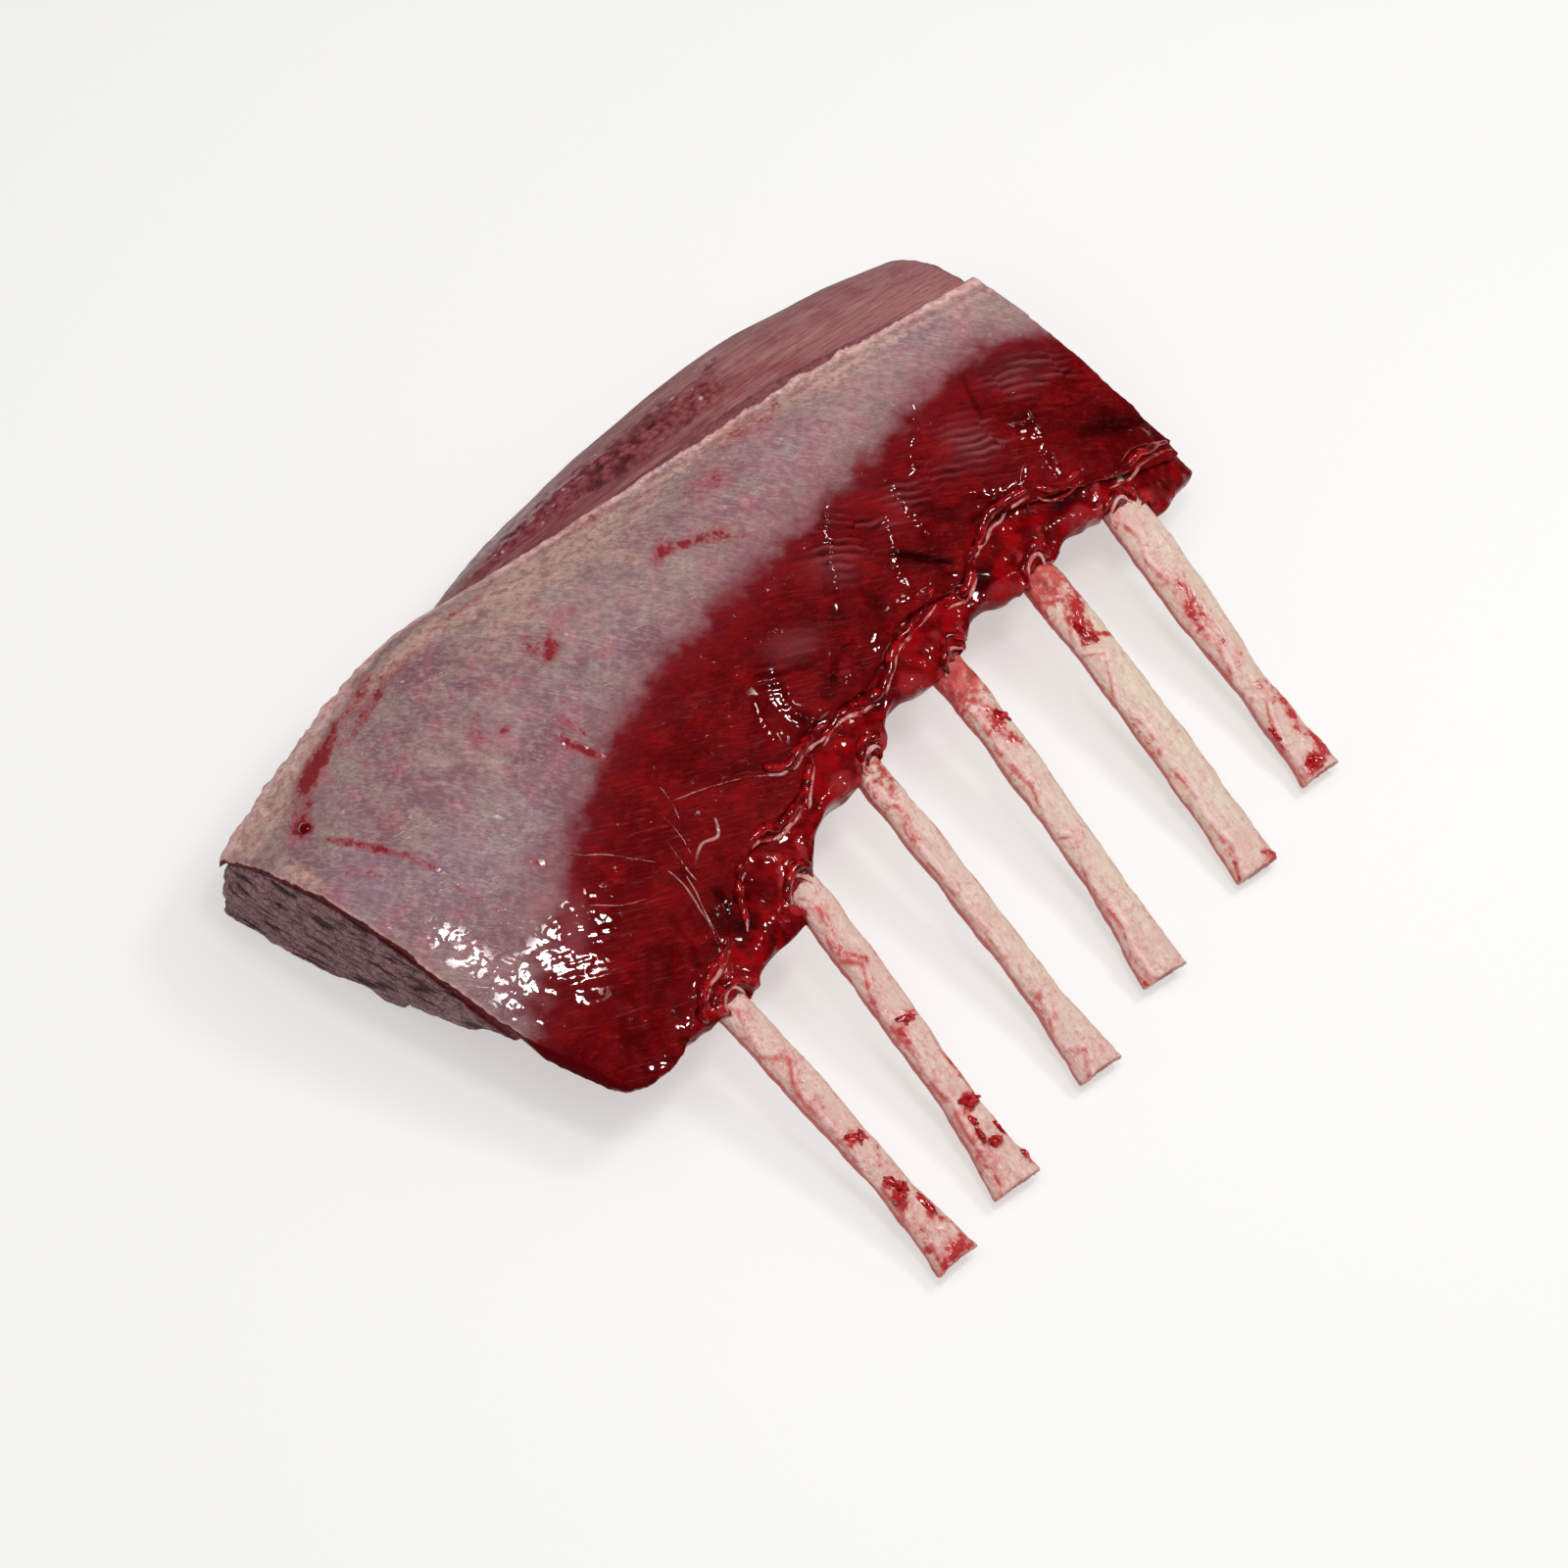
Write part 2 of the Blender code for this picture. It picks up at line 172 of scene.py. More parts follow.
floor_shape = bmesh.new()
bmesh.ops.create_grid(floor_shape, x_segments=1, y_segments=1, size=FLOOR_SIZE / 2)
floor_mesh = bpy.data.meshes.new("floor")
floor_shape.to_mesh(floor_mesh)
floor_shape.free()
floor = bpy.data.objects.new("floor", floor_mesh)
floor_material = bpy.data.materials.new("floor_paper")
floor_material.use_nodes = True
floor_finish = floor_material.node_tree.nodes["Principled BSDF"]
floor_finish.inputs["Base Color"].default_value = FLOOR_GREY
floor_finish.inputs["Emission Color"].default_value = FLOOR_LIGHT
floor_finish.inputs["Emission Strength"].default_value = FLOOR_GLOW
floor_finish.inputs["Roughness"].default_value = PAPER_ROUGHNESS
floor_finish.inputs["Specular IOR Level"].default_value = PAPER_SPECULAR
floor_mesh.materials.append(floor_material)
bpy.context.collection.objects.link(floor)
print("floor of", FLOOR_SIZE, "m")

# %% [markdown]
# ## Fine copies of the solids
# The solids have faces a few millimetres wide, and wrinkles are finer than that. Each solid
# is copied, its loose triangles are merged and joined back into quads, and a subdivision
# surface rounds it. A voxel remesh then lays even quads all over it, a little under a
# millimetre wide, and where the wrinkles go they are cut into four, so that each wrinkle
# gets five or six points across.

# %% Fine copies of the solids
WELD = 0.001 * MM
FLATNESS = math.radians(57.0)
SKEW = math.radians(69.0)


def evaluated_mesh(piece):
    """The mesh of an object with its modifiers applied."""
    graph = bpy.context.evaluated_depsgraph_get()
    return bpy.data.meshes.new_from_object(piece.evaluated_get(graph))


def shade_smooth(mesh):
    """Makes light run smoothly over a mesh's faces."""
    mesh.polygons.foreach_set("use_smooth", [True] * len(mesh.polygons))


def link_piece(name, mesh):
    """A new smooth-shaded object in the scene."""
    piece = bpy.data.objects.new(name, mesh)
    bpy.context.collection.objects.link(piece)
    shade_smooth(mesh)
    return piece


def merged_copy(node, sharp):
    """A bmesh copy of a solid in quads. Edges bent by more than sharp are kept crisp."""
    shape = bmesh.new()
    shape.from_mesh(frame["nodes"][node].data)
    bmesh.ops.remove_doubles(shape, verts=shape.verts[:], dist=WELD)
    bmesh.ops.join_triangles(
        shape, faces=shape.faces[:], angle_face_threshold=FLATNESS, angle_shape_threshold=SKEW
    )
    crease = shape.edges.layers.float.new("crease_edge")
    for edge in shape.edges:
        if edge.calc_face_angle(0.0) > math.radians(sharp):
            edge[crease] = 1.0
    return shape


def divide_more(shape, wanted):
    """Cuts the faces of a region into four."""
    edges = [edge for edge in shape.edges if all(wanted(vertex) for vertex in edge.verts)]
    bmesh.ops.subdivide_edges(shape, edges=edges, cuts=1, use_grid_fill=True)


def even_out(shape, points, times):
    """Moves points towards the middle of their neighbours, a number of times."""
    for _ in range(times):
        bmesh.ops.smooth_vert(
            shape, verts=points, factor=0.5, use_axis_x=True, use_axis_y=True, use_axis_z=True
        )


def fine_copy(node, name, rounding, cell, smoothing, sharp=180.0, wanted=None):
    """A finely divided object in the shape of a solid, finer still in a wanted region."""
    shape = merged_copy(node, sharp)
    mesh = bpy.data.meshes.new(name)
    shape.to_mesh(mesh)
    shape.free()
    piece = link_piece(name, mesh)
    if rounding:
        surface = piece.modifiers.new("Round", "SUBSURF")
        surface.levels = rounding
        surface.render_levels = rounding
    if cell:
        even = piece.modifiers.new("Even quads", "REMESH")
        even.mode = "VOXEL"
        even.voxel_size = cell * MM
    mesh = evaluated_mesh(piece)
    piece.modifiers.clear()
    piece.data = mesh
    shape = bmesh.new()
    shape.from_mesh(mesh)
    if wanted:
        divide_more(shape, wanted)
    even_out(shape, shape.verts[:], smoothing)
    shape.to_mesh(mesh)
    shape.free()
    shade_smooth(mesh)
    print(name, "has", len(mesh.polygons), "faces")
    return piece

# %% [markdown]
# ## Three layers of meat
# Only the parts with fine relief get the finest quads: the wrinkled red muscle, the cut face
# of the loin, and the ledge that shows between the ribs.

# %% Three layers of meat
RED_UNTIL_Y = 30.0 * MM
LEDGE_UNTIL_Y = 2.0 * MM


def on_red_side(vertex):
    """True on the upper side of the outer layer where the red muscle shows."""
    return vertex.co.y < RED_UNTIL_Y and vertex.normal.z > 0.1


def on_cut_face(vertex):
    """True on the cut face at the loin end."""
    return vertex.normal.x < -0.45


def on_ledge(vertex):
    """True on the part of the layer between the ribs that shows from above."""
    return vertex.co.y < LEDGE_UNTIL_Y and vertex.normal.z > -0.1


outer_layer = fine_copy("outer_layer", "outer_layer_meat", rounding=2, cell=0.80, smoothing=5,
                        wanted=on_red_side)
loin = fine_copy("loin_muscle", "loin_meat", rounding=2, cell=0.72, smoothing=3,
                 wanted=on_cut_face)
rib_layer = fine_copy("rib_layer", "rib_layer_meat", rounding=0, cell=0.80, smoothing=7,
                      wanted=on_ledge)

# %% [markdown]
# ## Helpers for carving
# Every feature is placed in millimetres on the rack: X runs from the loin end to the
# shoulder end, and the ribs point to -Y. A few small functions give smooth steps, curves
# through named points, soft spots, and grain that is stretched along the muscle fibres. The
# last number given to rough and to grain is a seed, which keeps two patterns from matching.

# %% Helpers for carving
def clamp(value):
    """A value held between 0 and 1."""
    return min(max(value, 0.0), 1.0)


def ease(value):
    """Zero below 0, one above 1, and a smooth step between."""
    value = clamp(value)
    return value * value * (3 - 2 * value)


def bell(value):
    """One at 0, and falling smoothly to nothing on both sides."""
    return math.exp(-value ** 2)


def height_at(rows, x):
    """The second column of a table at x, by straight lines between its rows."""
    if x <= rows[0][0]:
        return rows[0][1]
    for before, after in zip(rows, rows[1:]):
        if x <= after[0]:
            part = (x - before[0]) / (after[0] - before[0])
            return before[1] + (after[1] - before[1]) * part
    return rows[-1][1]


def turned(x, y, turn):
    """How far a place lies along a direction and beside it. The turn is in degrees from X."""
    cos = math.cos(math.radians(turn))
    sin = math.sin(math.radians(turn))
    return x * cos + y * sin, y * cos - x * sin


def spot(x, y, row):
    """How far inside a soft oval a place is: 1 in its middle, 0 well outside."""
    middle_x, middle_y, long_half, short_half, turn = row[:5]
    along, beside = turned(x - middle_x, y - middle_y, turn)
    along /= long_half
    beside /= short_half
    return math.exp(-(along * along + beside * beside))


def spots(x, y, rows):
    """The soft ovals of a table added up, each with the strength in its last column."""
    total = 0.0
    for row in rows:
        reach = row[2] * 2.5
        if abs(x - row[0]) < reach and abs(y - row[1]) < reach:
            total += spot(x, y, row) * row[5]
    return total


def line_distance(x, y, points):
    """Distance to a line of points, and the part of the way along it."""
    best = 1e9
    part_there = 0.0
    count = len(points) - 1
    for index in range(count):
        ax, ay = points[index]
        bx, by = points[index + 1]
        dx = bx - ax
        dy = by - ay
        part = clamp(((x - ax) * dx + (y - ay) * dy) / (dx * dx + dy * dy))
        gap = math.hypot(x - ax - dx * part, y - ay - dy * part)
        if gap < best:
            best = gap
            part_there = (index + part) / count
    return best, part_there


def grain(x, y, z, turn, length, width, seed=0.0):
    """Noise between -1 and 1, stretched along the direction of the fibres."""
    along, beside = turned(x, y, turn)
    return noise.noise(Vector((along / length, beside / width, z / width + seed)))


def rough(x, y, z, size, seed=0.0):
    """Noise between -1 and 1 with lumps of one size."""
    return noise.noise(Vector((x / size, y / size, z / size + seed)))


def edge_rows(piece, side, step_axis=0, far_axis=1):
    """The edge of a piece: how far it reaches towards one side, every 2 mm along an axis."""
    farthest = {}
    for vertex in piece.data.vertices:
        key = round(vertex.co[step_axis] / MM / 2) * 2
        reach = vertex.co[far_axis] / MM
        if key not in farthest or (reach - farthest[key]) * side > 0:
            farthest[key] = reach
    return tuple(sorted(farthest.items()))


lip_line = edge_rows(outer_layer, -1)
ridge_line = edge_rows(outer_layer, 1)
loin_end_line = edge_rows(outer_layer, -1, step_axis=1, far_axis=0)
print("lip from", lip_line[0], "to", lip_line[-1])

# %% [markdown]
# ## Carving and toning together
# A wrinkle gets painted shade in its valley and painted sheen on its crest, and a stain sits
# in one place.
# So one rule for each piece gives both how far a point moves along its normal and the
# tones at that point. The tones are kept as colour attributes, which the finishes read.

# %% Carving and toning together
def carve(piece, rule):
    """Moves each point of a piece by a rule, and keeps the tones that the rule gives."""
    mesh = piece.data
    moved = []
    tones = []
    forms = []
    for vertex in mesh.vertices:
        height, tone, form = rule(*(vertex.co / MM), vertex.normal)
        moved.append(vertex.co + vertex.normal * (height * MM))
        tones.extend(tone)
        forms.extend(form)
    for vertex, place in zip(mesh.vertices, moved):
        vertex.co = place
    for name, values in (("tone", tones), ("form", forms)):
        layer = mesh.attributes.new(name, "FLOAT_COLOR", "POINT")
        layer.data.foreach_set("color", [clamp(value) for value in values])
    mesh.update()
    print(piece.name, "carved at", len(mesh.vertices), "points")


def keep_tone(piece, name, rule):
    """Keeps one more value at each point of a piece."""
    mesh = piece.data
    values = []
    for vertex in mesh.vertices:
        values.append(clamp(rule(*(vertex.co / MM))))
    mesh.attributes.new(name, "FLOAT", "POINT").data.foreach_set("value", values)

# %% [markdown]
# ## Colours of the outer layer, by place
# Silverskin covers the loin as a pale, slightly cloudy skin. It fades into a deep red cap
# muscle towards the ribs, along a soft, fibrous line. Where it is tan with thick fascia,
# lilac, hazy, shaded or stained is listed as soft ovals, and noise breaks them up later.

# %% Colours of the outer layer, by place
CAP_TURN = -38.0
SKIN_TURN = -66.0
RIDGE_TURN = -24.0
SILVER_SPAN = 16.0
SILVER_EDGE = (
    # X, Y of the line where the silverskin ends
    (-88.0, 6.0), (-84.0, 7.5), (-80.0, 10.0), (-76.0, 11.5), (-67.0, 14.8), (-59.0, 19.2),
    (-50.0, 22.4), (-42.0, 24.3), (-34.0, 26.5), (-24.0, 28.0), (-16.0, 28.3), (-6.0, 27.4),
    (7.5, 26.4), (15.0, 25.2), (24.0, 23.6), (40.0, 22.7), (56.0, 22.0), (67.0, 21.0),
    (75.0, 19.8), (80.0, 17.0), (84.0, 13.0), (88.0, 10.0),
)
# Each row is a soft oval: X, Y, half length, half width, turn, strength.
HAZE = (
    (4.0, 12.0, 8.0, 4.0, -30, 0.50),
    (20.0, 15.0, 9.0, 5.0, -38, 0.40),
    (38.0, 13.0, 7.0, 6.0, -38, 0.30),
    (57.0, 10.0, 9.0, 7.0, -38, 0.40),
    (76.0, 12.0, 10.0, 7.0, -38, 0.40),
    (-20.0, 20.0, 14.0, 4.0, -10, 0.25),
    (-65.5, 12.0, 8.0, 3.6, 35, 0.95),
)
LILAC = (
    (-82.0, 45.0, 7.0, 8.0, 0, 0.80),
    (-68.5, 34.0, 9.0, 6.5, 0, 0.85),
    (-55.0, 30.0, 8.0, 5.0, 0, 0.45),
    (34.0, 36.0, 12.0, 5.0, -20, 0.55),
    (72.0, 31.0, 12.0, 5.0, -10, 0.60),
    (-30.0, 38.0, 12.0, 5.0, -10, 0.35),
)
FASCIA = (
    (-82.0, 71.0, 9.0, 4.0, 0, 1.1),
    (-68.0, 73.0, 8.0, 2.0, 8, 0.9),
    (-46.0, 70.5, 16.0, 2.2, -4, 0.85),
    (-26.0, 65.5, 14.0, 2.4, -14, 0.60),
    (-86.5, 56.0, 2.6, 10.0, 0, 0.75),
    (-8.0, 57.0, 22.0, 6.5, -22, 0.62),
    (-28.0, 55.0, 14.0, 7.0, -12, 0.40),
    (-52.0, 52.0, 8.0, 5.0, 0, 0.30),
    (50.0, 40.5, 26.0, 2.8, -22, 0.60),
    (-2.0, 47.0, 5.0, 2.0, -60, 0.40),
    (-55.0, 48.0, 3.0, 1.2, -60, 0.50),
    (-65.0, 45.5, 2.4, 1.2, -60, 0.40),
    (-50.0, 40.0, 2.2, 1.0, -60, 0.50),
    (-48.0, 36.0, 1.6, 0.9, -60, 0.50),
)
SHADES = (
    (79.0, -7.0, 10.0, 3.4, -28, 1.0),
    (33.0, 4.0, 7.0, 3.0, -55, 0.6),
    (-46.0, -9.0, 7.0, 3.0, 60, 0.8),
    (-10.0, -0.5, 9.0, 2.0, -10, 0.6),
    (50.0, 0.5, 8.0, 2.2, -10, 0.6),
    (74.0, 15.0, 9.0, 2.0, -38, 0.5),
    (-62.0, -6.0, 10.0, 3.0, 20, 0.35),
    (10.0, 12.0, 12.0, 3.0, -38, 0.45),
    (36.0, 22.0, 8.0, 2.0, -38, 0.35),
)
STAINS = (
    (-66.0, 69.2, 6.5, 1.9, 12, 1.35),
    (-50.5, 71.5, 5.0, 1.6, 8, 0.50),
    (-57.7, 71.6, 3.0, 1.4, 10, 0.32),
    (-24.5, 44.8, 3.0, 1.6, 30, 0.38),
    (-78.3, 62.2, 1.7, 1.4, 0, 1.3),
    (-75.5, 65.0, 4.5, 2.2, 20, 0.55),
    (-77.6, 55.0, 3.6, 0.7, -70, 0.75),
    (-75.3, 48.0, 4.0, 0.8, -72, 0.95),
    (-72.8, 39.5, 5.0, 0.6, -75, 0.6),
    (-72.0, 30.0, 6.0, 0.5, -80, 0.42),
    (-80.5, 47.0, 4.0, 2.0, -70, 0.3),
    (-25.0, 46.1, 3.4, 1.0, 30, 0.72),
    (-26.5, 49.0, 4.0, 2.0, 60, 0.35),
    (-43.2, 42.4, 1.5, 1.0, 0, 0.70),
    (-46.5, 46.0, 4.0, 1.5, 50, 0.42),
    (-37.6, 30.0, 4.6, 0.9, -74, 1.05),
    (-35.0, 33.5, 4.0, 1.5, -74, 0.45),
    (7.2, 38.6, 6.5, 1.4, -30, 0.62),
    (3.0, 41.5, 4.5, 1.5, 30, 0.48),
    (13.0, 33.5, 4.0, 2.0, -50, 0.42),
    (-44.5, 68.5, 8.0, 2.2, -8, 0.36),
    (-54.0, 67.0, 7.0, 1.6, 4, 0.45),
    (-24.0, 66.0, 9.0, 1.6, -14, 0.38),
    (22.0, 43.0, 6.0, 3.0, -20, 0.34),
    (36.0, 45.0, 10.0, 3.0, -22, 0.42),
    (2.0, 58.5, 9.0, 1.4, -18, 0.42),
    (-57.0, 55.0, 3.0, 1.4, 40, 0.3),
    (-60.0, 24.0, 3.0, 1.0, -60, 0.45),
)
print(len(STAINS), "stains and", len(FASCIA), "places with thick fascia")

# %% [markdown]
# ## Wrinkles, folds and ridges
# The cap muscle has been pushed together, so it lies in fine wrinkles along its fibres. They
# come in combs side by side, and each comb is a row of waves that starts a little off the
# last. Single folds and ridges are lines of points, and fade out at both ends.

# %% Wrinkles, folds and ridges
# Each row is a soft oval: X, Y, half length, half width, turn, strength.
WRINKLES = (
    (77.0, 8.5, 9.0, 7.0, -38, 1.0),
    (59.0, 7.5, 9.0, 6.5, -38, 0.95),
    (44.0, 13.0, 7.0, 5.5, -38, 0.6),
    (27.5, 17.5, 9.0, 7.5, -38, 1.0),
    (14.0, 7.0, 9.0, 5.0, -38, 0.35),
    (-6.0, 13.0, 11.0, 4.0, -30, 0.30),
    (-27.0, 15.0, 10.0, 5.0, -26, 0.18),
    (-42.0, 2.0, 6.0, 5.0, -60, 0.30),
)
COMB_WIDTH = 15.0
WRINKLE_STEP = 1.75
# A fold is carved in and also darkened, as painted shade in its crease.
FOLDS = (
    # half width, depth, then the X, Y points that it runs through
    (0.55, 0.8, ((29.8, 9.0), (32.7, 5.5), (35.4, 0.8), (38.5, -1.8))),
    (1.2, 0.6, ((72.0, -3.5), (78.8, -7.4), (82.4, -9.5), (88.0, -12.0))),
    (0.5, 0.4, ((55.0, 25.8), (54.5, 23.2), (53.7, 20.4))),
    (0.9, 0.7, ((-42.6, -3.0), (-44.7, -9.1), (-47.5, -13.7))),
    (0.7, 0.4, ((-52.0, 0.5), (-55.0, -6.0), (-57.5, -11.0))),
    (0.6, 0.4, ((2.0, 2.0), (8.0, 5.0), (14.0, 3.5))),
    (0.5, 0.5, ((-14.0, -1.0), (-8.0, 0.5), (-1.0, -0.5), (4.0, -2.5))),
    (0.5, 0.4, ((44.0, 1.0), (51.0, 0.0), (57.0, -2.0))),
    (0.45, 0.35, ((70.5, 22.0), (66.0, 15.0), (63.0, 9.0))),
    (0.45, 0.35, ((24.0, 22.0), (20.5, 16.0), (14.5, 12.0))),
)
RIDGES = (
    # half width, height, then the X, Y points that it runs through
    (0.8, 0.60, ((61.3, 25.4), (54.4, 19.5), (48.2, 16.7), (44.0, 12.5))),
    (0.8, 0.70, ((41.5, 16.5), (39.6, 12.3), (38.7, 7.5), (36.5, 4.0))),
    (0.8, 0.65, ((36.0, 14.5), (32.0, 9.0), (28.2, 5.0), (26.7, 0.3))),
    (0.9, 0.80, ((71.0, 7.5), (67.7, 0.7), (65.7, -2.9), (63.5, -8.0))),
    (0.8, 0.55, ((31.5, 24.5), (25.9, 20.0), (18.0, 12.3), (14.5, 8.6))),
    (0.8, 0.60, ((62.0, -1.0), (57.5, -2.5), (52.0, 1.0), (49.0, 5.0))),
    (0.9, 0.50, ((-2.0, 13.0), (-6.0, 7.2), (-7.0, 1.5))),
    (0.8, 0.50, ((-8.8, 12.5), (-12.0, 7.5), (-14.0, 3.0))),
    (1.0, 0.45, ((76.0, -12.0), (80.0, -10.5), (85.0, -14.0))),
)


def wrinkle(x, y, z):
    """Combs of wrinkles: 1 on a crest and 0 between crests, and 1 in the gap between combs."""
    along, beside = turned(x, y, CAP_TURN)
    along = along / COMB_WIDTH + 0.45 * rough(x, y, z, 11.0, 4.0)
    comb = math.floor(along)
    part = along - comb
    wave = beside / WRINKLE_STEP + 0.3 * (part - 0.5) ** 2 + 0.37 * comb
    wave += 0.9 * rough(x, y, z, 12.0, 5.0) + 0.35 * rough(x, y, z, 3.5, 56.0)
    crest = (0.5 + 0.5 * math.cos(2 * math.pi * wave)) ** 1.6
    gap = min(part, 1 - part) * COMB_WIDTH
    return crest, bell(gap / 0.7)


def along_lines(x, y, rows):
    """The heights of a table of lines added up, each fading out at both ends."""
    total = 0.0
    for half_width, rise, points in rows:
        if abs(x - points[0][0]) < 30 and abs(y - points[0][1]) < 30:
            gap, part = line_distance(x, y, points)
            if gap < half_width * 3:
                ends = ease(4 * part + 0.2) * ease(4 * (1 - part) + 0.2)
                total += rise * bell(gap / half_width) * ends
    return total


print(len(FOLDS), "folds and", len(RIDGES), "ridges, in millimetres")

# %% [markdown]
# ## The surface of the outer layer
# The rule works out how far a place is from the lip, the ridge, the loin end and the edge of
# the silverskin. Wrinkles count only on the red side, and a pale rolled rim follows the
# ridge, where the skin was cut. Its tones are: silverskin, fascia, stain and shade, then
# folds, which also carry painted shade in the valleys, haze, which also carries painted
# sheen on the wrinkle crests, rim and cut edge.

# %% The surface of the outer layer
UNDERSIDE = -0.35
RAGGED_UNTIL_X = -38.0
WIDE_RIM_UNTIL_X = -36.0
RIM_INSET = (
    # X, how far the pale rim lies inside the edge along the ridge
    (0.0, 0.0), (20.0, 1.5), (35.0, 2.8), (50.0, 3.0), (62.0, 2.2), (75.0, 0.8), (88.0, 0.0),
)


def cap_relief(x, y, z, from_lip):
    """Red muscle folds, painted shade in their valleys, and haze with painted sheen on crests."""
    near = min(spots(x, y, WRINKLES), 1.2)
    crest, gap = wrinkle(x, y, z)
    combed = near * ease(0.45 + 1.5 * grain(x, y, z, CAP_TURN, 7.0, 2.6, 6.0))
    fold = (0.95 * crest - 0.35) * combed - 0.12 * gap * near
    fold += 0.10 * grain(x, y, z, CAP_TURN, 9.0, 1.0, 1.0)
    fold += 0.60 * rough(x, y, z, 6.5, 2.0) * ease(1.2 - from_lip / 26.0)
    fold += 0.45 * rough(x, y, z, 2.8, 17.0) * ease(1.0 - from_lip / 13.0)
    # the second value is painted shade in the valleys, the third painted sheen on the crests and
    # haze
    return fold, (crest - 0.40) * combed, 0.70 * crest * combed + spots(x, y, HAZE)


def rim_along_ridge(x, y, z, from_ridge, inset):
    """The pale rolled rim along the ridge, and the bare meat beyond it."""
    bare = ease((inset - from_ridge) / 0.8 + 0.5) * ease(inset)
    width = (1.9 + 0.9 * rough(x, y, z, 5.0, 16.0)) * (1.0 - 0.35 * ease(inset / 1.5))
    width *= 1.0 + 1.3 * ease((WIDE_RIM_UNTIL_X - x) / 16.0)
    rim = bell((max(from_ridge, 0.0) - inset) / width)
    return rim * (1 - bare), bare


def outer_rule(x, y, z, normal):
    """Relief and tones of the outer layer."""
    if normal.z < UNDERSIDE:
        return 0.0, (0.2, 0.0, 0.0, 0.0), (0.5, 0.0, 0.0, 0.0)
    from_lip = y - height_at(lip_line, x)
    from_ridge = height_at(ridge_line, x) - y
    from_end = x - height_at(loin_end_line, y)
    inside = y - height_at(SILVER_EDGE, x)
    red = ease(0.5 - inside / 5.0)
    outward = ease(normal.z - UNDERSIDE)

    # broad swells, beads and skin grain
    height = 0.45 * rough(x, y, z, 17.0) * (0.4 + 0.6 * red)
    height += along_lines(x, y, RIDGES) * (0.75 + 1.1 * rough(x, y, z, 1.9, 19.0))
    height += 0.05 * grain(x, y, z, SKIN_TURN, 7.0, 1.2, 3.0) * (1 - red)
    height += 0.10 * rough(x, y, z, 3.0, 9.0)

    # wrinkles and folds of the red muscle with painted shade in the valleys, and its swollen lip
    fold = 0.0
    lined = 0.0
    haze_and_sheen = spots(x, y, LILAC)
    if red > 0.0:
        fold, lined, painted_crest_sheen = [part * red for part in cap_relief(x, y, z, from_lip)]
        haze_and_sheen += painted_crest_sheen
    fold -= along_lines(x, y, FOLDS)
    lip = math.exp(-max(from_lip, 0.0) / 1.4) * outward * ease((x + 72.0) / 12.0)
    fold += 0.65 * lip * (0.8 + 0.9 * rough(x, y, z, 4.0, 7.0))

    # the rim along the ridge, and the ragged edge at the loin end
    inset = height_at(RIM_INSET, x) * (1.0 + 0.5 * rough(x, y, z, 4.0, 52.0))
    rim, bare = rim_along_ridge(x, y, z, from_ridge, inset)
    fold += rim * (0.32 + 0.40 * rough(x, y, z, 2.8, 8.0))
    end_rim = bell(from_end / 0.9) * ease(normal.z * 2) * (1 - red)
    ragged = ease((RAGGED_UNTIL_X - x) / 12.0) * ease(1.4 - from_ridge / 8.0)
    fold += ragged * (0.70 * rough(x, y, z, 3.4, 12.0) + 0.5 * rough(x, y, z, 1.6, 13.0))
    height = (height + fold) * outward

    # fascia and its threads, stains and the cut edge
    fascia = spots(x, y, FASCIA) + 0.75 * bell(from_ridge / 2.2)
    fascia += 0.25 * grain(x, y, z, SKIN_TURN, 9.0, 1.6, 11.0)
    threads_there = bell((from_ridge - inset) / 8.0) * ease((x + 25.0) / 30.0)
    thready = grain(x, y, z, RIDGE_TURN, 12.0, 0.9, 53.0)
    fascia += (0.25 + 1.2 * thready) * threads_there
    height += 0.22 * thready * threads_there
    stain = spots(x, y, STAINS) * (1.0 + 0.6 * rough(x, y, z, 1.1, 15.0))
    cut = ease((-normal.x - 0.35) / 0.25) * ease(1.5 - from_end / 2.5)
    span = SILVER_SPAN * (1.0 + 0.7 * ease((-56.0 - x) / 14.0))
    # the fold tone is also painted shade in the valleys, and the haze tone painted sheen on
    # crests
    return (
        height * (1 - 0.7 * cut),
        (0.5 + inside / span, fascia * (1 - bare), stain, spots(x, y, SHADES) + bare),
        (0.5 + fold * 0.55 + lined * 0.30, haze_and_sheen, max(rim, 0.7 * end_rim), cut),
    )

# %% [markdown]
# ## Wet places
# A wet surface is not wet all over. Juice gathers on the flap, along the ridges and at the
# lip, and the rest is nearly dry, so that the glints stay in groups.

# %% Wet places
# Each row is a soft oval: X, Y, half length, half width, turn, strength.
WET_PLACES = (
    (-79.0, 9.0, 9.0, 8.0, -35, 1.0),
    (-66.0, 10.0, 10.0, 6.0, 10, 1.0),
    (-81.0, 26.0, 4.0, 7.0, 0, 0.8),
    (-8.0, 7.0, 5.0, 7.0, -20, 0.72),
    (66.0, 2.0, 3.0, 7.0, 0, 0.5),
    (-74.0, -6.0, 5.0, 2.0, 50, 0.7),
    (-56.0, 36.0, 5.0, 4.0, 0, 0.55),
    (-66.0, 40.0, 3.0, 3.0, 0, 0.5),
    (-26.0, 37.0, 6.0, 3.0, 20, 0.5),
)


def wetness(x, y, z):
    """How wet the outer layer is: most on the flap, on the beaded ridges and at the lip."""
    from_lip = y - height_at(lip_line, x)
    ridge = 2.2 * along_lines(x, y, RIDGES)
    near_lip = ease(1.1 - from_lip / 5.0) * ease(0.35 + 2.2 * rough(x, y, z, 6.0, 51.0))
    wet = max(spots(x, y, WET_PLACES), ridge, 0.9 * near_lip)
    return ease((wet - 0.25) / 0.5)

# %% [markdown]
# ## Shaping and carving the outer layer
# The remesh leaves the edge at the loin end a little bumpy, so it is evened out first. The
# corner of the flap is then drawn out into a rounder tip, and the rules are run.

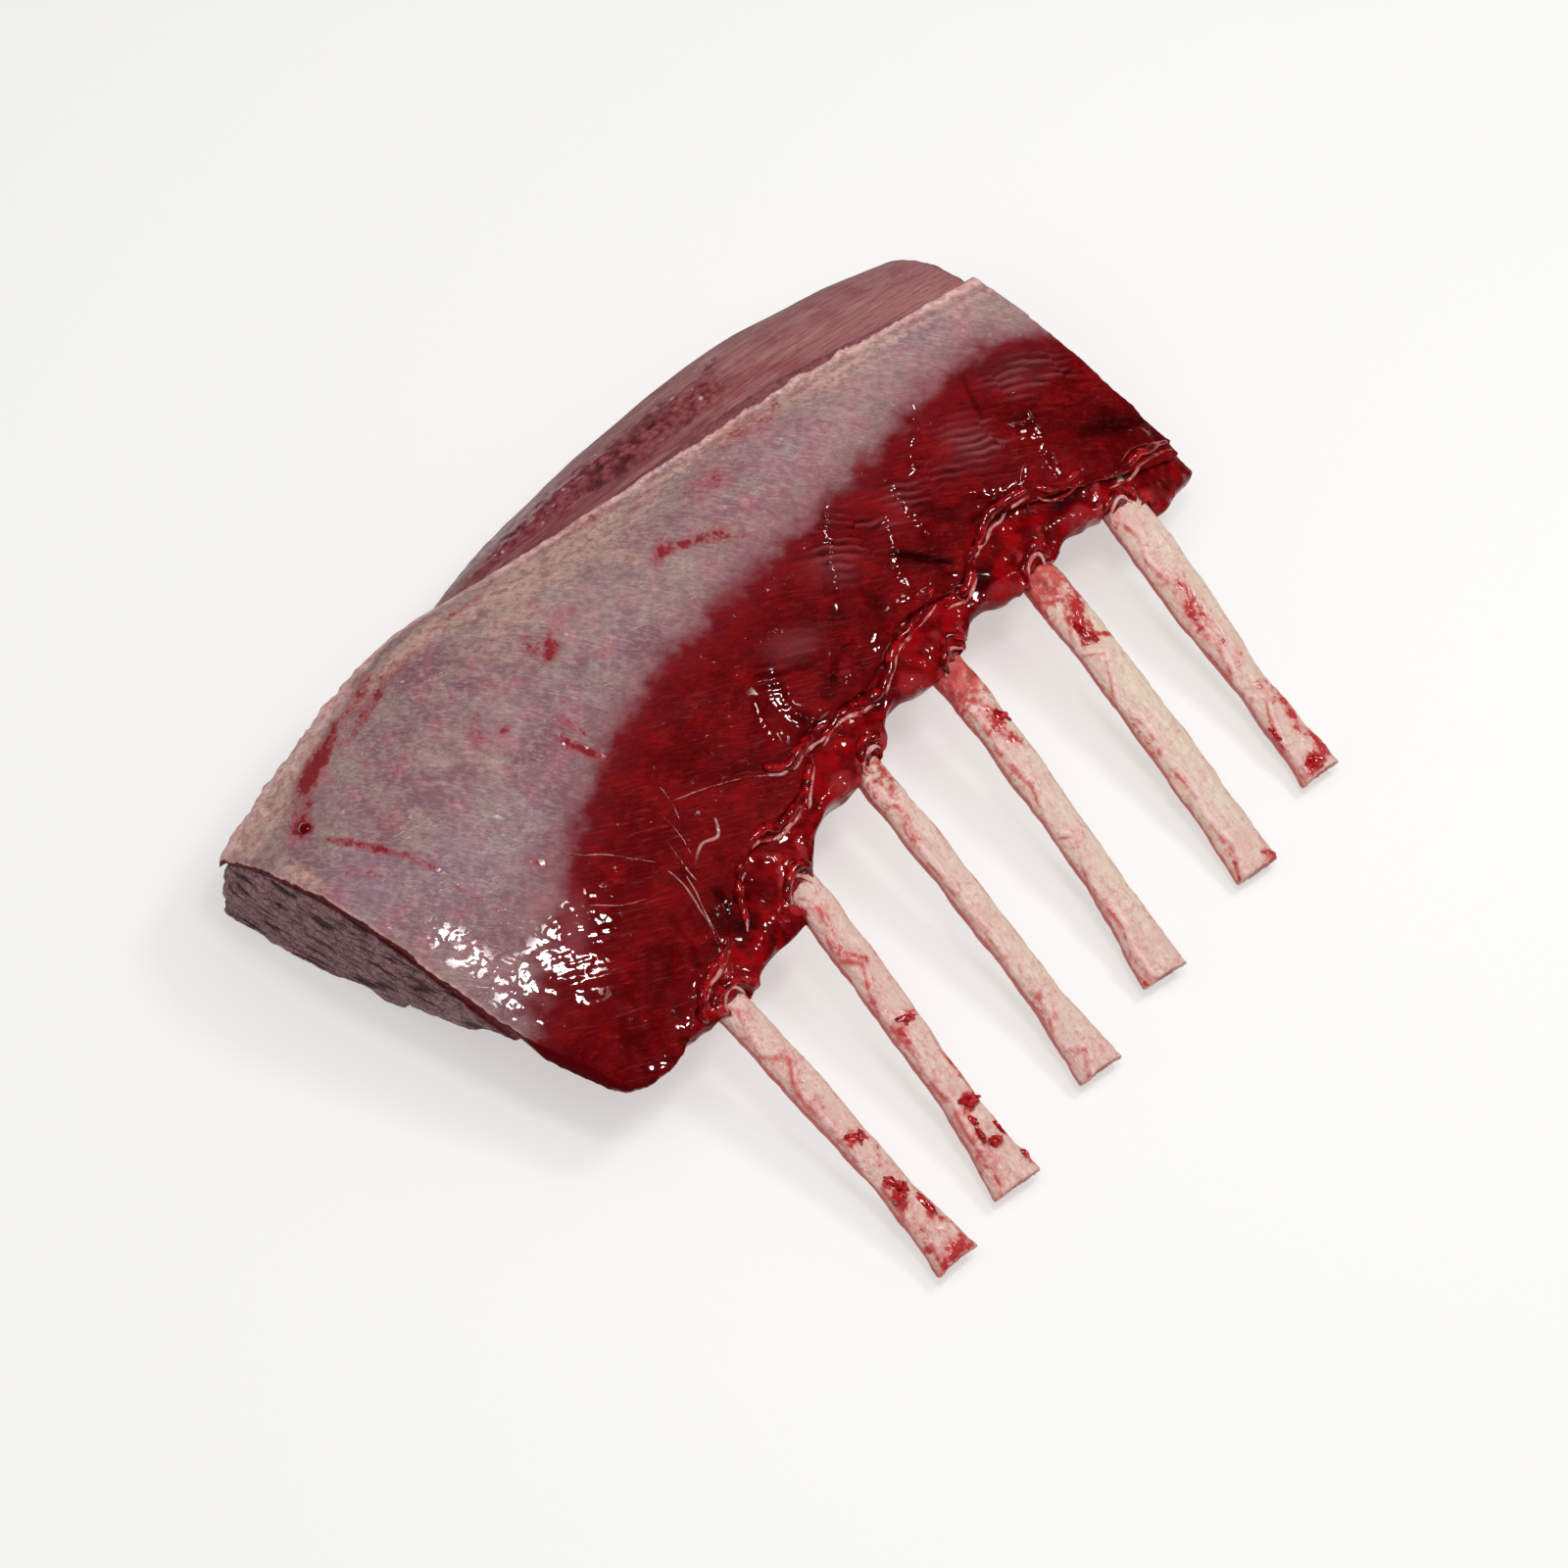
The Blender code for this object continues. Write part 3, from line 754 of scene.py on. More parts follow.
# %% Shaping and carving the outer layer
END_BAND = 3.0
END_SMOOTHING = 10
FLAP_PUSHES = (
    # X, Y, half length, half width, turn, then how far that place moves
    (-81.0, -10.0, 8.0, 7.0, 0, (-2.6, -3.0, -0.6)),
    (-73.5, -11.5, 5.5, 6.5, 0, (0.6, -2.3, -0.4)),
)


def smooth_end(times):
    """Evens out the edge of the outer layer along the cut at the loin end."""
    shape = bmesh.new()
    shape.from_mesh(outer_layer.data)
    near_end = []
    for vertex in shape.verts:
        x, y, _ = vertex.co / MM
        if x - height_at(loin_end_line, y) < END_BAND:
            near_end.append(vertex)
    even_out(shape, near_end, times)
    shape.to_mesh(outer_layer.data)
    shape.free()


def push_corner():
    """Draws the flap's corner out a little, into a rounder and fuller tip."""
    for vertex in outer_layer.data.vertices:
        x, y, _ = vertex.co / MM
        for *place, push in FLAP_PUSHES:
            vertex.co += Vector(push) * (spot(x, y, place) * MM)


smooth_end(END_SMOOTHING)
push_corner()
lip_line = edge_rows(outer_layer, -1)
loin_end_line = edge_rows(outer_layer, -1, step_axis=1, far_axis=0)
carve(outer_layer, outer_rule)
keep_tone(outer_layer, "wet", wetness)

# %% [markdown]
# ## The loin muscle
# The loin shows in three places: the strip along the back, where the surface is bare,
# matte and finely streaked along its fibres, the cut face at the loin end, with its grain
# of bundles cut across, and the end face at the shoulder.

# %% The loin muscle
STRIP_TURN = -17.0
WET_STRIP = (
    # X, Y, half length, half width, turn, strength
    (13.0, 66.0, 20.0, 5.0, -20, 1.0),
    (36.0, 59.5, 9.0, 4.0, -30, 1.0),
    (46.0, 62.0, 4.0, 2.0, 20, 0.8),
    (-8.0, 72.0, 14.0, 4.0, -15, 0.7),
)
CUT_CRACKS = (
    # half width, depth, then the Y, Z points that it runs through
    (0.45, 0.9, ((46.0, 12.0), (42.0, 10.0), (38.0, 10.5))),
    (0.40, 0.8, ((36.0, 9.0), (33.0, 7.5), (30.0, 7.8))),
    (0.35, 0.6, ((58.0, 15.0), (54.0, 12.5), (51.0, 12.0))),
)


def top_of_cut(piece):
    """The height of the upper edge of the cut face, by Y."""
    rows = {}
    for vertex in piece.data.vertices:
        if vertex.normal.x < -0.45:
            key = round(vertex.co.y / MM)
            rows[key] = max(rows.get(key, 0.0), vertex.co.z / MM)
    return tuple(sorted(rows.items()))


cut_top = top_of_cut(loin)


def loin_rule(x, y, z, normal):
    """Relief and tones of the loin muscle."""
    cut = ease((-normal.x - 0.55) / 0.25)
    end = ease((normal.x - 0.55) / 0.25)
    strip = (1 - cut) * (1 - end)
    wet = spots(x, y, WET_STRIP) * strip
    height = 0.35 * rough(x, y, z, 14.0, 20.0) * strip
    height += 0.14 * grain(x, y, z, STRIP_TURN, 9.0, 0.9, 21.0) * strip
    height += (0.28 * rough(x, y, z, 2.4, 22.0) + 0.20 * rough(x, y, z, 1.2, 23.0)) * wet
    level = y * 0.99 - z * 0.12
    bend = 1.3 * rough(x, y, z, 8.0, 29.0)
    across = noise.noise(Vector((level / 6.5, (z * 0.99 + y * 0.12) / 1.1 + bend, 24.0)))
    bundles = rough(x, y * 0.5, z * 1.3, 2.6, 25.0)
    cut_relief = 0.34 * across + 0.34 * bundles + 0.18 * rough(x, y, z, 0.9, 26.0)
    low = ease((height_at(cut_top, y) - 4.0 - z) / 6.0)
    cut_relief += 1.1 * low * cut
    cut_relief -= along_lines(y, z, CUT_CRACKS)
    end_relief = 0.30 * rough(x, y, z, 4.0, 27.0) + 0.15 * rough(x, y, z, 1.4, 28.0)
    height += cut_relief * cut + end_relief * end
    streak = 0.5 + 0.45 * across + 0.35 * bundles - 0.6 * along_lines(y, z, CUT_CRACKS)
    band = bell(max(height_at(cut_top, y) - 0.4 - z, 0.0) / 0.7)
    if z < 1.2:
        height *= ease(z / 1.2)
    return (
        height,
        (cut, end, wet, 1.0),
        (0.5 + 0.8 * height, streak, band, 0.0),
    )


carve(loin, loin_rule)

# %% [markdown]
# ## The middle lines of the ribs
# The layer between the ribs is pale where it wraps a bone, and stains and scraps sit at
# known distances from a rib's sawn tip. So the middle of each rib is measured from its
# solid, as points every 4 mm across the rack.

# %% The middle lines of the ribs
RIB_NODES = ["rib_%d" % number for number in range(1, 7)]
RIB_STEP = 4.0


def middle_line(node):
    """X and Z of a rib's middle by Y, from the corners of its solid in slices."""
    slices = {}
    for vertex in frame["nodes"][node].data.vertices:
        place = vertex.co / MM
        slices.setdefault(round(place.y / RIB_STEP), []).append(place)
    rows = []
    for key in sorted(slices):
        group = slices[key]
        low = Vector([min(point[axis] for point in group) for axis in range(3)])
        high = Vector([max(point[axis] for point in group) for axis in range(3)])
        rows.append((key * RIB_STEP, (low.x + high.x) / 2, (low.z + high.z) / 2))
    return rows


def on_line(rows, y):
    """X and Z of a rib's middle at one Y."""
    x = height_at([(row[0], row[1]) for row in rows], y)
    z = height_at([(row[0], row[2]) for row in rows], y)
    return x, z


rib_lines = {node: middle_line(node) for node in RIB_NODES}
print("rib tips at X", [round(rib_lines[node][0][1]) for node in RIB_NODES])

# %% [markdown]
# ## The roots of the ribs
# Where a rib leaves the meat, the layer round it is drawn back and bares a little more of
# the bone. So each root is found along the rib's middle line, and the layer over it is sunk
# to the height of the bone. At the loin end the layer tucks in under the flap.

# %% The roots of the ribs
TUCK_IN = 4.5
TUCK_BACK = 3.2
OPEN_BACK = (3.0, 3.0, 2.2, 1.8, 1.8, 2.0)
OPEN_DEPTH = 3.6
OPEN_HALF = 3.3


def tuck_rib_layer():
    """Draws the layer in a little at the loin end, so the edge of the outer layer covers it."""
    for vertex in rib_layer.data.vertices:
        x, y, _ = vertex.co / MM
        corner = ease((-56.0 - x) / 10.0) * ease((9.0 - y) / 16.0)
        vertex.co.x += TUCK_IN * ease((-66.0 - x) / 12.0) * MM
        vertex.co.y += TUCK_BACK * corner * MM


def root_y(rows):
    """Y where a rib leaves the layer between the ribs."""
    y = 6.0
    while y > height_at(layer_front, on_line(rows, y)[0]) and y > -40.0:
        y -= 0.25
    return y


def opened(x, y, z):
    """1 where the layer is drawn back to bare the root of a rib, with a ragged edge."""
    most = 0.0
    for rows, root, back in zip(rib_lines.values(), root_places, OPEN_BACK):
        side = abs(x - on_line(rows, y)[0]) + 0.9 * rough(x, y, z, 2.2, 71.0)
        edge = root + back + 1.2 * rough(x, y, z, 1.8, 72.0)
        most = max(most, ease((OPEN_HALF - side) / 1.2) * ease((edge - y) / 1.4))
    return most


def nearest_middle(x, y):
    """The distance beside a place to the nearest rib's middle line, and the height there."""
    nearest = (99.0, 0.0)
    for rows in rib_lines.values():
        middle_x, middle_z = on_line(rows, y)
        nearest = min(nearest, (abs(x - middle_x), middle_z))
    return nearest


def open_roots():
    """Sinks the layer over each root, outside and inside, so that the bone shows."""
    for vertex in rib_layer.data.vertices:
        x, y, z = vertex.co / MM
        bared = opened(x, y, z) if y < 0.0 else 0.0
        if bared > 0.0:
            above = z - nearest_middle(x, y)[1]
            vertex.co.z -= min(OPEN_DEPTH, max(above, 0.0)) * bared * MM


tuck_rib_layer()
layer_front = edge_rows(rib_layer, -1)
root_places = [root_y(rows) for rows in rib_lines.values()]
print("ribs leave the layer at Y", root_places)
open_roots()

# %% [markdown]
# ## The layer between the ribs
# It shows as a deep red, wet ledge under the lip, drawn up a little where each rib leaves
# it, and as the inner side of the rib cage underneath, under a thin membrane.

# %% The layer between the ribs
LEDGE_TURN = -60.0
CAGE_TURN = 20.0
LEDGE_REACH = (
    # X, Y, half length, half width, turn, how far the ledge reaches out
    (61.5, -10.5, 3.5, 5.0, 0, 2.2),
    (39.5, -8.0, 3.5, 5.0, 0, 2.2),
    (13.5, -9.0, 3.0, 5.0, 0, 1.2),
    (-11.5, -8.0, 3.5, 5.0, 0, 1.8),
)
# Painted shadow in the pockets beside the ribs, as near black ovals on the ledge.
LEDGE_SHADOWS = (
    # X, Y, half length, half width, turn, strength
    (37.0, -6.0, 5.0, 3.0, 0, 0.9),
    (62.0, -9.0, 6.0, 3.0, 0, 0.9),
    (-45.0, -11.5, 4.0, 2.5, 0, 0.8),
    (-18.0, -5.0, 4.0, 2.0, 0, 0.5),
    (9.0, -4.0, 4.0, 2.0, 0, 0.5),
)


def rib_layer_rule(x, y, z, normal):
    """Relief and tones of the layer between the ribs."""
    up = ease((normal.z + 0.2) / 0.6)
    under = ease((-normal.z - 0.1) / 0.5)
    height = 0.35 * rough(x, y, z, 7.0, 30.0) + 0.45 * rough(x, y, z, 3.0, 31.0) * up
    height += 0.18 * grain(x, y, z, LEDGE_TURN, 6.0, 1.1, 32.0) * up
    height += 0.15 * grain(x, y, z, CAGE_TURN, 9.0, 1.6, 33.0) * under
    nearest = 99.0
    for rows in rib_lines.values():
        middle_x, middle_z = on_line(rows, y)
        nearest = min(nearest, math.hypot(x - middle_x, (z - middle_z) * 0.8))
    wrap = bell((nearest - 4.6) / 1.3)
    front = ease((-4.0 - y) / 6.0)
    height += 0.5 * wrap * front * (0.6 + rough(x, y, z, 1.8, 34.0))
    height += spots(x, y, LEDGE_REACH) * ease(-normal.y)
    pale = wrap * front + 0.5 * under * (0.4 + rough(x, y, z, 9.0, 35.0))
    bared = opened(x, y, z) * up
    height *= 1 - bared
    pale += 0.9 * bared
    if z < 1.0:
        height *= ease(z)
    return (
        height,
        (pale, spots(x, y, LEDGE_SHADOWS) * up, under, 1.0),
        (0.5 + 0.6 * height, 0.0, 0.0, 0.0),
    )


carve(rib_layer, rib_layer_rule)

# %% [markdown]
# ## The ribs
# Each rib is scraped clean, flat on top, a little waisted and flared at its sawn tip. The
# surface has long shallow scrape marks and uneven edges, and the tip is ragged where the
# saw went through. Stains are listed by their distance from the tip and from the middle.

# %% The ribs
RIB_STAINS = (
    # for each rib: from the tip, from the middle, half length, half width, strength
    (
        (28.5, -0.6, 1.5, 1.4, 0.9), (27.0, 1.2, 1.2, 1.0, 0.7), (17.5, -0.6, 1.8, 1.1, 0.95),
        (15.0, -1.4, 1.2, 1.0, 1.2), (11.0, 3.4, 6.0, 0.9, 0.7), (2.0, 0.0, 1.8, 5.0, 0.75),
        (8.0, -3.6, 6.0, 0.6, 0.6), (22.0, 2.4, 5.0, 1.2, 0.35), (40.0, -1.0, 9.0, 1.4, 0.28),
        (9.0, 0.0, 9.0, 3.4, 0.30),
    ),
    (
        (34.5, 0.4, 1.0, 2.4, 1.0), (32.0, -1.8, 2.6, 1.0, 0.6), (17.0, 0.8, 1.4, 2.0, 1.3),
        (12.5, -0.6, 3.0, 0.8, 0.95), (9.0, 1.2, 1.2, 1.0, 1.2), (10.0, 3.6, 3.4, 0.6, 0.8),
        (4.0, 4.6, 1.6, 0.8, 1.0), (50.0, -1.2, 8.0, 1.1, 0.55), (24.0, 2.8, 7.0, 0.6, 0.7),
        (8.0, -3.8, 9.0, 0.5, 0.5),
    ),
    (
        (3.5, 4.4, 2.4, 0.7, 0.8), (1.2, -3.8, 1.5, 1.0, 0.7), (53.0, -1.4, 4.0, 1.2, 0.5),
        (20.0, -3.4, 14.0, 0.5, 0.4),
    ),
    (
        (53.5, 0.2, 3.6, 2.2, 0.9), (48.0, 1.4, 2.2, 1.4, 0.5), (2.5, -4.4, 3.0, 0.8, 0.8),
        (44.0, -2.6, 7.0, 0.9, 0.35), (1.5, 1.5, 1.2, 3.0, 0.35),
    ),
    (
        (52.5, 0.6, 3.2, 0.9, 1.3), (50.0, 2.6, 3.2, 0.9, 1.0), (56.0, 0.0, 3.0, 3.0, 0.9),
        (2.0, 3.6, 1.6, 1.4, 0.8), (4.5, -3.8, 3.4, 0.6, 0.7), (0.8, 0.0, 1.0, 4.6, 0.6),
        (30.0, -3.6, 12.0, 0.6, 0.45),
    ),
    (
        (36.5, -1.6, 4.2, 2.2, 0.66), (41.5, -0.8, 3.6, 1.8, 0.35), (26.0, 1.0, 2.0, 1.2, 0.4),
        (30.0, -1.6, 1.2, 1.4, 0.5), (11.5, -2.8, 3.4, 0.7, 1.0), (12.0, 2.2, 6.0, 1.2, 0.7),
        (3.4, 0.2, 1.6, 2.6, 1.35), (5.0, 3.8, 4.0, 0.9, 0.9), (18.0, 0.4, 5.0, 1.8, 0.4),
    ),
)
ROOT_RED = (0.30, 0.28, 0.62, 1.10, 1.25, 0.25)
RIB_CREAM = (0.25, 0.30, 0.60, 0.75, 1.00, 0.55)
FLUSH = (0.42, 0.42, 0.34, 0.30, 0.18, 0.28)
ROOT_Y = -19.0
ROOT_FADE = 9.0


def rib_rule(index):
    """The relief and tones of one rib, as a rule for carve."""
    rows = rib_lines[RIB_NODES[index]]
    tip_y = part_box(RIB_NODES[index])[0].y / MM
    slant = (rows[8][1] - rows[0][1]) / (rows[8][0] - rows[0][0])
    length_ways = Vector((slant, 1.0, 0.12)).normalized()
    side_ways = Vector((1.0, -slant, 0.0)).normalized()
    seed = 40.0 + 7.0 * index

    def rule(x, y, z, normal):
        middle_x, middle_z = on_line(rows, y)
        side = (x - middle_x) * side_ways.x
        from_tip = y - tip_y
        end = ease((-normal.dot(length_ways) - 0.5) / 0.3) * ease((4.0 - from_tip) / 2.0)
        sideways = normal.dot(side_ways)
        scrape = noise.noise(Vector((side / 0.8, from_tip / 14.0, z / 0.8 + seed)))
        wave = noise.noise(Vector((sideways * 0.8, from_tip / 6.0, seed)))
        height = 0.10 * scrape * (1 - end)
        height += 0.38 * wave * abs(sideways)
        height += 0.10 * rough(x, y, z, 1.6, seed + 1) + 0.16 * rough(x, y, z, 5.0, seed + 2)
        tip = ease(1.0 - from_tip / 4.0)
        height += 0.40 * tip * rough(x, y, z, 1.3, seed + 3)
        height += end * (0.3 * rough(x, y, z, 1.0, seed + 4) - 0.5 * ease(1.3 - abs(side) / 3.0))
        stain = 0.0
        for along, across, half_length, half_width, strength in RIB_STAINS[index]:
            far = ((from_tip - along) / half_length) ** 2 + ((side - across) / half_width) ** 2
            if far < 6.0:
                stain += strength * math.exp(-far)
        stain *= ease((normal.z + 0.5) / 0.6) * (1.0 + 0.7 * rough(x, y, z, 1.0, seed + 5))
        root = ease((y - ROOT_Y) / ROOT_FADE + 0.5) * ROOT_RED[index]
        edge = ease((-sideways - 0.55) / 0.3) * ease((0.6 - normal.z) / 0.5)
        edge += 0.45 * ease((sideways - 0.6) / 0.3)
        reach = 2.6 + 1.3 * ease(1.0 - from_tip / 14.0)
        top = ease(normal.z) * (1 - end)
        # a raised ridge along the left side; its tone is paler in the finish, partly a painted
        # highlight
        ridge = bell((side + 0.62 * reach) / 0.75) * top
        groove = bell((side + 0.20 * reach) / 0.50) * top
        height += 0.26 * ridge - 0.14 * groove
        line = bell((side + reach) / 0.32) * top
        edge += line * (0.35 + 0.8 * rough(x, y, z, 2.4, seed + 7))
        flush = bell((side + reach) / 1.5) * top
        edge += FLUSH[index] * flush * (1.0 + rough(x, y, z, 3.0, seed + 8))
        height += 0.25 * ease(stain - 0.5)
        cream = RIB_CREAM[index] * ease(0.3 + from_tip / 30.0) * (0.6 + 0.6 * ease(side / 2.5))
        return (
            height,
            (stain, edge, root, 1.0),
            (0.5 + 1.4 * height, end, cream, ridge),
        )

    return rule


ribs = []
for index, node in enumerate(RIB_NODES):
    rib = fine_copy(node, node + "_bone", rounding=2, cell=0.36, smoothing=2, sharp=60.0)
    carve(rib, rib_rule(index))
    ribs.append(rib)

# %% [markdown]
# ## Rolls that lie on the meat
# Tendon threads, the pale curled edge of the cap muscle and the rings round the rib roots
# are all thin rolls that lie on the meat. A roll starts as a small circle that is extruded
# step by step along a smooth line, and a ray from above drops that line onto the surface.

# %% Rolls that lie on the meat
ROLL_SIDES = 8
ROLL_STEP = 0.6
RAY_FROM = 0.1
ROLL_FLATNESS = 0.8


def tree_of(pieces):
    """One search tree over the surfaces of several pieces."""
    shape = bmesh.new()
    for piece in pieces:
        shape.from_mesh(piece.data)
    found = BVHTree.FromBMesh(shape)
    shape.free()
    return found


meat_surface = tree_of([outer_layer, loin, rib_layer])
all_surface = tree_of([outer_layer, loin, rib_layer] + ribs)


def dropped(x, y, tree):
    """The point and normal of the surface straight below a place, in millimetres."""
    place, normal, _, _ = tree.ray_cast(Vector((x * MM, y * MM, RAY_FROM)), Vector((0, 0, -1)))
    if place is None:
        return None, None
    return place / MM, normal


def smooth_line(points, step):
    """Evenly spaced points on a smooth curve through the given ones."""
    places = []
    count = len(points)
    for index in range(count - 1):
        before = points[max(index - 1, 0)]
        here = points[index]
        there = points[index + 1]
        after = points[min(index + 2, count - 1)]
        parts = max(int((there - here).length / step), 1)
        for number in range(parts):
            part = number / parts
            places.append(0.5 * (
                2 * here + (there - before) * part
                + (2 * before - 5 * here + 4 * there - after) * part ** 2
                + (3 * here - before - 3 * there + after) * part ** 3
            ))
    places.append(points[-1])
    return places


def edges_within(ring):
    """The edges that join the points of a ring."""
    inside = set(ring)
    return [edge for point in ring for edge in point.link_edges
            if edge.verts[0] == point and edge.verts[1] in inside]


def roll(shape, centres, normals, radii, flat):
    """A closed roll made by extruding a circle along its centres."""
    placements = []
    for index, centre in enumerate(centres):
        before = centres[max(index - 1, 0)]
        after = centres[min(index + 1, len(centres) - 1)]
        along = (after - before).normalized()
        side = along.cross(normals[index]).normalized()
        up = side.cross(along)
        turn = Matrix((side, up, along)).transposed().to_4x4()
        size = Matrix.Diagonal((radii[index], radii[index] * flat, radii[index], 1.0))
        placements.append(Matrix.Translation(centre) @ turn @ size)
    made = bmesh.ops.create_circle(shape, cap_ends=True, segments=ROLL_SIDES, radius=1.0)
    ring = made["verts"]
    bmesh.ops.transform(shape, matrix=placements[0], verts=ring)
    for before, after in zip(placements, placements[1:]):
        grown = bmesh.ops.extrude_edge_only(shape, edges=edges_within(ring))["geom"]
        ring = [part for part in grown if isinstance(part, bmesh.types.BMVert)]
        bmesh.ops.transform(shape, matrix=after @ before.inverted(), verts=ring)
    bmesh.ops.contextual_create(shape, geom=edges_within(ring))


def laid_roll(shape, points, radius, sink, seed, tree):
    """A roll that lies on the surface along X, Y points, thinner at both ends."""
    flat_points = [Vector((x, y)) for x, y in points]
    centres = []
    normals = []
    for place in smooth_line(flat_points, ROLL_STEP):
        point, normal = dropped(place.x, place.y, tree)
        if point is not None:
            centres.append(point)
            normals.append(normal)
    for _ in range(2):
        inner = [(a + 2 * b + c) / 4 for a, b, c in zip(centres, centres[1:], centres[2:])]
        centres = [centres[0]] + inner + [centres[-1]]
    radii = []
    for index, centre in enumerate(centres):
        part = index / (len(centres) - 1)
        taper = 0.25 + 0.75 * math.sqrt(math.sin(math.pi * min(max(part, 0.02), 0.98)))
        uneven = 1.0 + 0.45 * noise.noise(centre / 2.6 + Vector((0, 0, seed)))
        radii.append(radius * taper * uneven)
    lifted = []
    for centre, normal, size in zip(centres, normals, radii):
        dip = 1.7 * radius * max(noise.noise(centre / 5.0 + Vector((0, 0, seed + 9))), 0.0)
        drift = Vector((noise.noise(centre / 3 + Vector((seed, 0, 0))),
                        noise.noise(centre / 3 + Vector((0, seed, 0))), 0.0)) * radius * 0.8
        lifted.append((centre + normal * (size * (1 - sink) - dip) + drift) * MM)
    roll(shape, lifted, normals, [size * MM for size in radii], ROLL_FLATNESS)


def finished_piece(name, shape):
    """An object from a bmesh, with its normals outward."""
    bmesh.ops.recalc_face_normals(shape, faces=shape.faces[:])
    mesh = bpy.data.meshes.new(name)
    shape.to_mesh(mesh)
    shape.free()
    print(name, "has", len(mesh.polygons), "faces")
    return link_piece(name, mesh)

# %% [markdown]
# ## The curled lip and the tendon threads
# The cap muscle ends in a pale curled edge, which dips under the wet surface here and
# there, with a swollen red one beside it. Tendon threads lie over the muscle in long, thin,
# slightly wandering lines.

# %% The curled lip and the tendon threads
LIP_ROLLS = (
    # radius, how far it is sunk, then the X, Y points that it runs through
    (0.50, 0.55, ((29.0, -2.6), (25.5, -2.8), (22.0, -2.4), (17.5, -2.4), (14.2, -3.2),
        (10.4, -5.0), (7.0, -5.4), (4.0, -4.6), (0.5, -3.0), (-3.5, -2.3), (-7.5, -2.6))),
    (0.52, 0.50, ((29.4, -5.2), (32.0, -6.4), (35.0, -6.6), (37.6, -5.0), (39.5, -3.6),
        (44.2, -2.4), (48.7, -1.8), (52.6, -2.9), (56.5, -4.4))),
    (0.42, 0.50, ((-4.8, -1.9), (-11.1, -1.4), (-16.7, -1.6), (-19.5, 1.9))),
    (0.46, 0.50, ((-20.0, -8.2), (-17.6, -6.8), (-14.4, -5.0), (-10.8, -3.4))),
    (0.48, 0.50, ((-16.0, -5.6), (-19.5, -7.0), (-23.6, -7.0), (-27.2, -6.6), (-30.0, -5.0),
        (-33.0, -4.6))),
    (0.38, 0.45, ((-36.5, -6.0), (-39.3, -6.8), (-42.5, -10.2), (-45.6, -13.0))),
    (0.52, 0.45, ((-50.0, -12.2), (-54.0, -13.6), (-58.2, -13.9), (-61.8, -14.9),
        (-64.0, -16.2), (-64.6, -18.0), (-63.4, -19.4))),
    (0.36, 0.50, ((57.8, -5.6), (60.5, -8.2), (63.0, -9.4), (66.5, -10.2))),
    (0.40, 0.50, ((69.0, -14.5), (73.0, -16.0), (77.5, -16.2), (81.0, -16.8), (84.5, -18.0))),
)
THREADS = (
    # radius, how far it is sunk, then the X, Y points that it runs through
    (0.22, 0.55, ((-45.7, 4.5), (-46.2, 0.8), (-49.0, -6.2), (-51.6, -10.8))),
    (0.20, 0.55, ((-43.9, 2.6), (-45.6, -1.0), (-48.4, -6.0), (-51.2, -11.6))),
    (0.42, 0.45, ((-32.3, 3.9), (-34.2, 1.5), (-37.2, 2.7), (-39.2, 2.6), (-41.8, 1.4))),
    (0.14, 0.60, ((-56.3, 22.3), (-53.5, 18.4), (-50.3, 14.7), (-45.9, 7.1))),
    (0.15, 0.60, ((-37.9, 12.6), (-38.4, 9.6), (-39.2, 6.2), (-40.6, 3.0))),
    (0.13, 0.60, ((-34.0, 14.6), (-35.2, 11.0), (-36.8, 8.4))),
    (0.16, 0.60, ((-41.5, 8.0), (-43.0, 3.4), (-44.0, -0.5))),
    (0.34, 0.45, ((-11.0, -2.0), (-13.9, -0.9), (-17.4, -0.9), (-20.3, 2.0), (-23.2, 4.7))),
    (0.16, 0.60, ((-23.2, 4.7), (-28.9, 8.3), (-34.6, 11.5))),
    (0.18, 0.60, ((55.5, -5.6), (58.0, -1.6), (61.5, -0.6))),
    (0.14, 0.60, ((-60.0, 12.0), (-56.0, 7.0), (-52.5, 4.5))),
    (0.15, 0.60, ((74.5, -13.6), (78.0, -13.2), (82.0, -14.6))),
)


def roll_piece(name, rows, seed, tree):
    """One piece made of several laid rolls."""
    shape = bmesh.new()
    for number, (radius, sink, points) in enumerate(rows):
        laid_roll(shape, points, radius, sink, seed + number * 3.7, tree)
    return finished_piece(name, shape)


SWELL_SHIFT = (0.7, 1.3)
SWELL_SIZE = 2.3
SWELL_SINK = 0.62


def swell_rows():
    """A thick, sunken roll beside each roll of the lip."""
    rows = []
    for radius, _, points in LIP_ROLLS:
        moved = [(x + SWELL_SHIFT[0], y + SWELL_SHIFT[1]) for x, y in points]
        rows.append((radius * SWELL_SIZE, SWELL_SINK, moved))
    return rows


lip_rolls = roll_piece("lip_rolls", LIP_ROLLS, 2.0, meat_surface)
lip_swells = roll_piece("lip_swells", swell_rows(), 31.0, meat_surface)
threads = roll_piece("tendon_threads", THREADS, 50.0, meat_surface)

# %% [markdown]
# ## Rings round the rib roots
# Where a rib leaves the meat, the cut edge of the tissue that covered it stays behind as a
# pale arch over its top, with a thicker red one behind it. Both are rolls laid on the
# surface.

# %% Rings round the rib roots
RING_POINTS = 14
RING_WIDTH = 2.9
RING_LENGTH = 2.4
RING_RADIUS = 0.42


